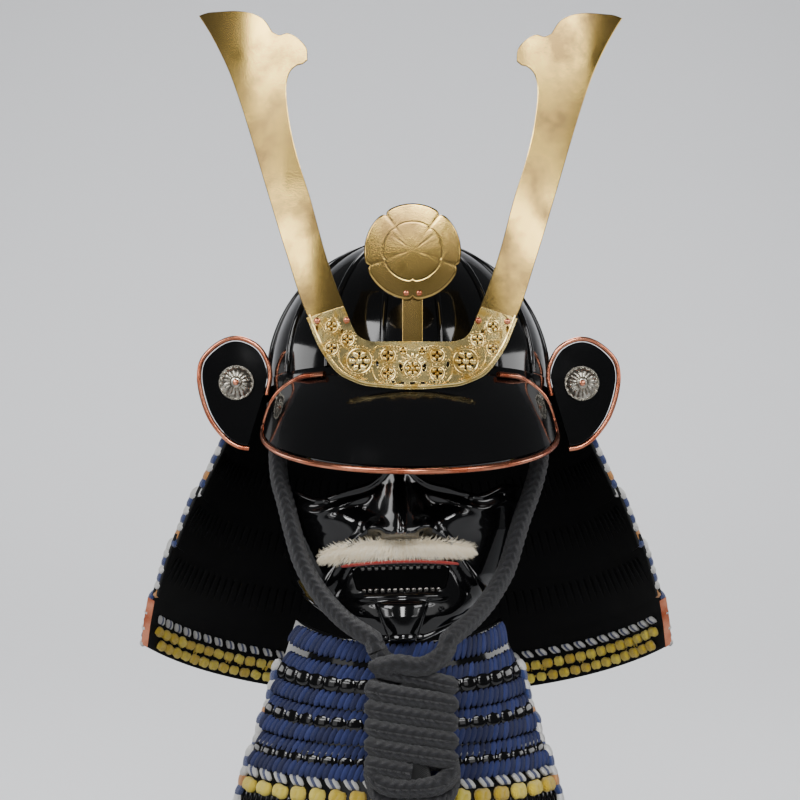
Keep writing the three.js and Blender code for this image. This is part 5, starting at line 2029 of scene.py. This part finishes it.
    def make_teeth(self) -> None:
        """Small rounded metal teeth along the top and bottom of the mouth, on two lacquered gums."""
        tooth = ball(12, 10, 0.75)
        teeth, gums = [], []
        rows = (
            (self.mouth_top - 1.4, self.mouth_top + 1.8, 12),
            (self.mouth_bottom + 1.6, self.mouth_bottom - 2.2, 13),
        )
        for z, gum, count in rows:
            x = (np.arange(count) - (count - 1) / 2) * 5.4
            turn = np.arcsin(x / 86) / (math.pi / 2)
            spots = self.settle(self.at_height(turn, np.full(count, z), -4.0))
            teeth.append(stamp(tooth, spots, RIGHT, UP, FORWARD, np.array([1.9, 2.4, 1.5])))
            line = np.linspace(-0.3, 0.3, 40)
            gums.append(tube(self.settle(self.at_height(line, np.full(40, gum), -4.6)), 2.9, 10, facing=UP))
        dress("mask_teeth", joined(teeth), Finish.STEEL)
        dress("mask_gums", joined(gums), Finish.LACQUER)

    def strip(self, size: Strip) -> Shape:
        """A strip laid on the mask's face, bowed down towards its tapered ends."""
        share = np.linspace(-1, 1, 60)[None, :]
        v = np.linspace(0, 1, 13)[:, None]
        taper = np.sqrt(np.maximum(0.04, 1 - share**8))
        z = size.middle - size.droop * share**2 + (0.5 - v) * size.tall * taper
        x, z = np.broadcast_arrays(share * np.where(share < 0, size.half, size.half - 4.5), z)
        body = np.maximum(0.8, np.sin(math.pi * lerp(0.06, 0.94, v)) * size.thick * taper)
        return wall(self.smooth_face(x, z, size.low + body), self.smooth_face(x, z, size.low))

    def smooth_face(self, x: Array, z: Array, proud: Array | float) -> Array:
        """The place on the mask without its small features."""
        return self.settle(self.at_height(self.turn_at(x, z), z, np.asarray(proud)))

    def make_moustache(self) -> None:
        """White fur: a backing strip under some thousands of short tapered hairs that part under the nose."""
        dress("moustache_backing", self.strip(MOUSTACHE), Finish.HAIR, "moustache")
        random = np.random.default_rng(7)
        count = self.hair_count
        share = random.uniform(-1, 1, count)
        taper = np.sqrt(np.maximum(0.03, 1 - share**8))
        v = random.uniform(0, 1, count)
        z = -142.6 - (4 - 1.5 * share) * share**2 + (0.56 - v) * (12 - 1.5 * share) * taper
        low = 1.5 + np.sin(math.pi * v) * 4.0 * taper
        roots = self.smooth_face(share * np.where(share < 0, 60, 55.5), z, low)
        outs = unit(roots - np.array([self.shift, 0.0, -143.0]))
        spread = share * 1.1 + random.normal(0, 0.22, count)
        ways = unit(stack(spread, -0.25, -1.0 + 1.7 * (v < 0.22) * random.uniform(0, 1, count)))
        fur = self.hairs(roots, ways, outs, random.uniform(3.6, 6.6, count) * lerp(0.75, 1.0, taper), 0.2)
        fur.pick = np.repeat(random.uniform(0.1, 1.0, count), 12)
        dress("moustache_fur", fur, Finish.HAIR)
        dress("red_lip_line", self.strip(LIP_LINE), Finish.FELT, "lip_felt")

    @staticmethod
    def hairs(roots: Array, ways: Array, outs: Array, lengths: Array, radius: float) -> Shape:
        """Tapered three-sided hairs that lift off their roots and droop back.

        Args:
            roots: Where the hairs start.
            ways: The direction in which each lies.
            outs: The direction out of the surface.
            lengths: Their lengths.
            radius: Radius at the root.

        Returns:
            All hairs as one shape, twelve corners to a hair.
        """
        t = np.linspace(0, 1, 4)[None, :, None]
        reach = lengths[:, None, None]
        line = roots[:, None] + ways[:, None] * reach * t + outs[:, None] * reach * (0.38 * t - 0.3 * t * t)
        side = unit(np.cross(ways, outs))[:, None, None]
        front = outs[:, None, None]
        turn = (np.arange(3) / 3 * TURN)[None, None, :, None]
        thin = (radius * (1 - 0.8 * t**1.5))[..., None]
        spots = line[:, :, None] + thin * (np.cos(turn) * side + np.sin(turn) * front)
        i, j = np.meshgrid(np.arange(3), np.arange(3), indexing="ij")
        i, j = i.ravel(), j.ravel()
        k = (j + 1) % 3
        one = np.stack([i * 3 + j, i * 3 + k, (i + 1) * 3 + k, (i + 1) * 3 + j], axis=1)
        caps = np.array([[0, 2, 1], [9, 10, 11]])
        shift = (np.arange(len(roots)) * 12)[:, None, None]
        quads, triangles = (one[None] + shift).reshape(-1, 4), (caps[None] + shift).reshape(-1, 3)
        return Shape(spots.reshape(-1, 3), quads, triangles).outwards()


def corners(box: Sequence) -> list[float]:
    """A box's two corners as one plain list of numbers."""
    return [float(value) for corner in box for value in corner]


def main() -> None:
    """Builds studio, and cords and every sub-assembly."""
    logging.basicConfig(level=logging.INFO, format="%(message)s")
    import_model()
    Studio().build()
    ChinCord().build()
    bowl = Bowl()
    peak = Peak(bowl)
    ears = [Ear(side) for side in Side]
    parts = [bowl, peak, HornSheet(peak), *ears, NeckGuard(), ThroatGuard(), FaceMask()]
    for part in parts:
        part.build()
        log.info("built %s", type(part).__name__)


if __name__ == "__main__":
    main()
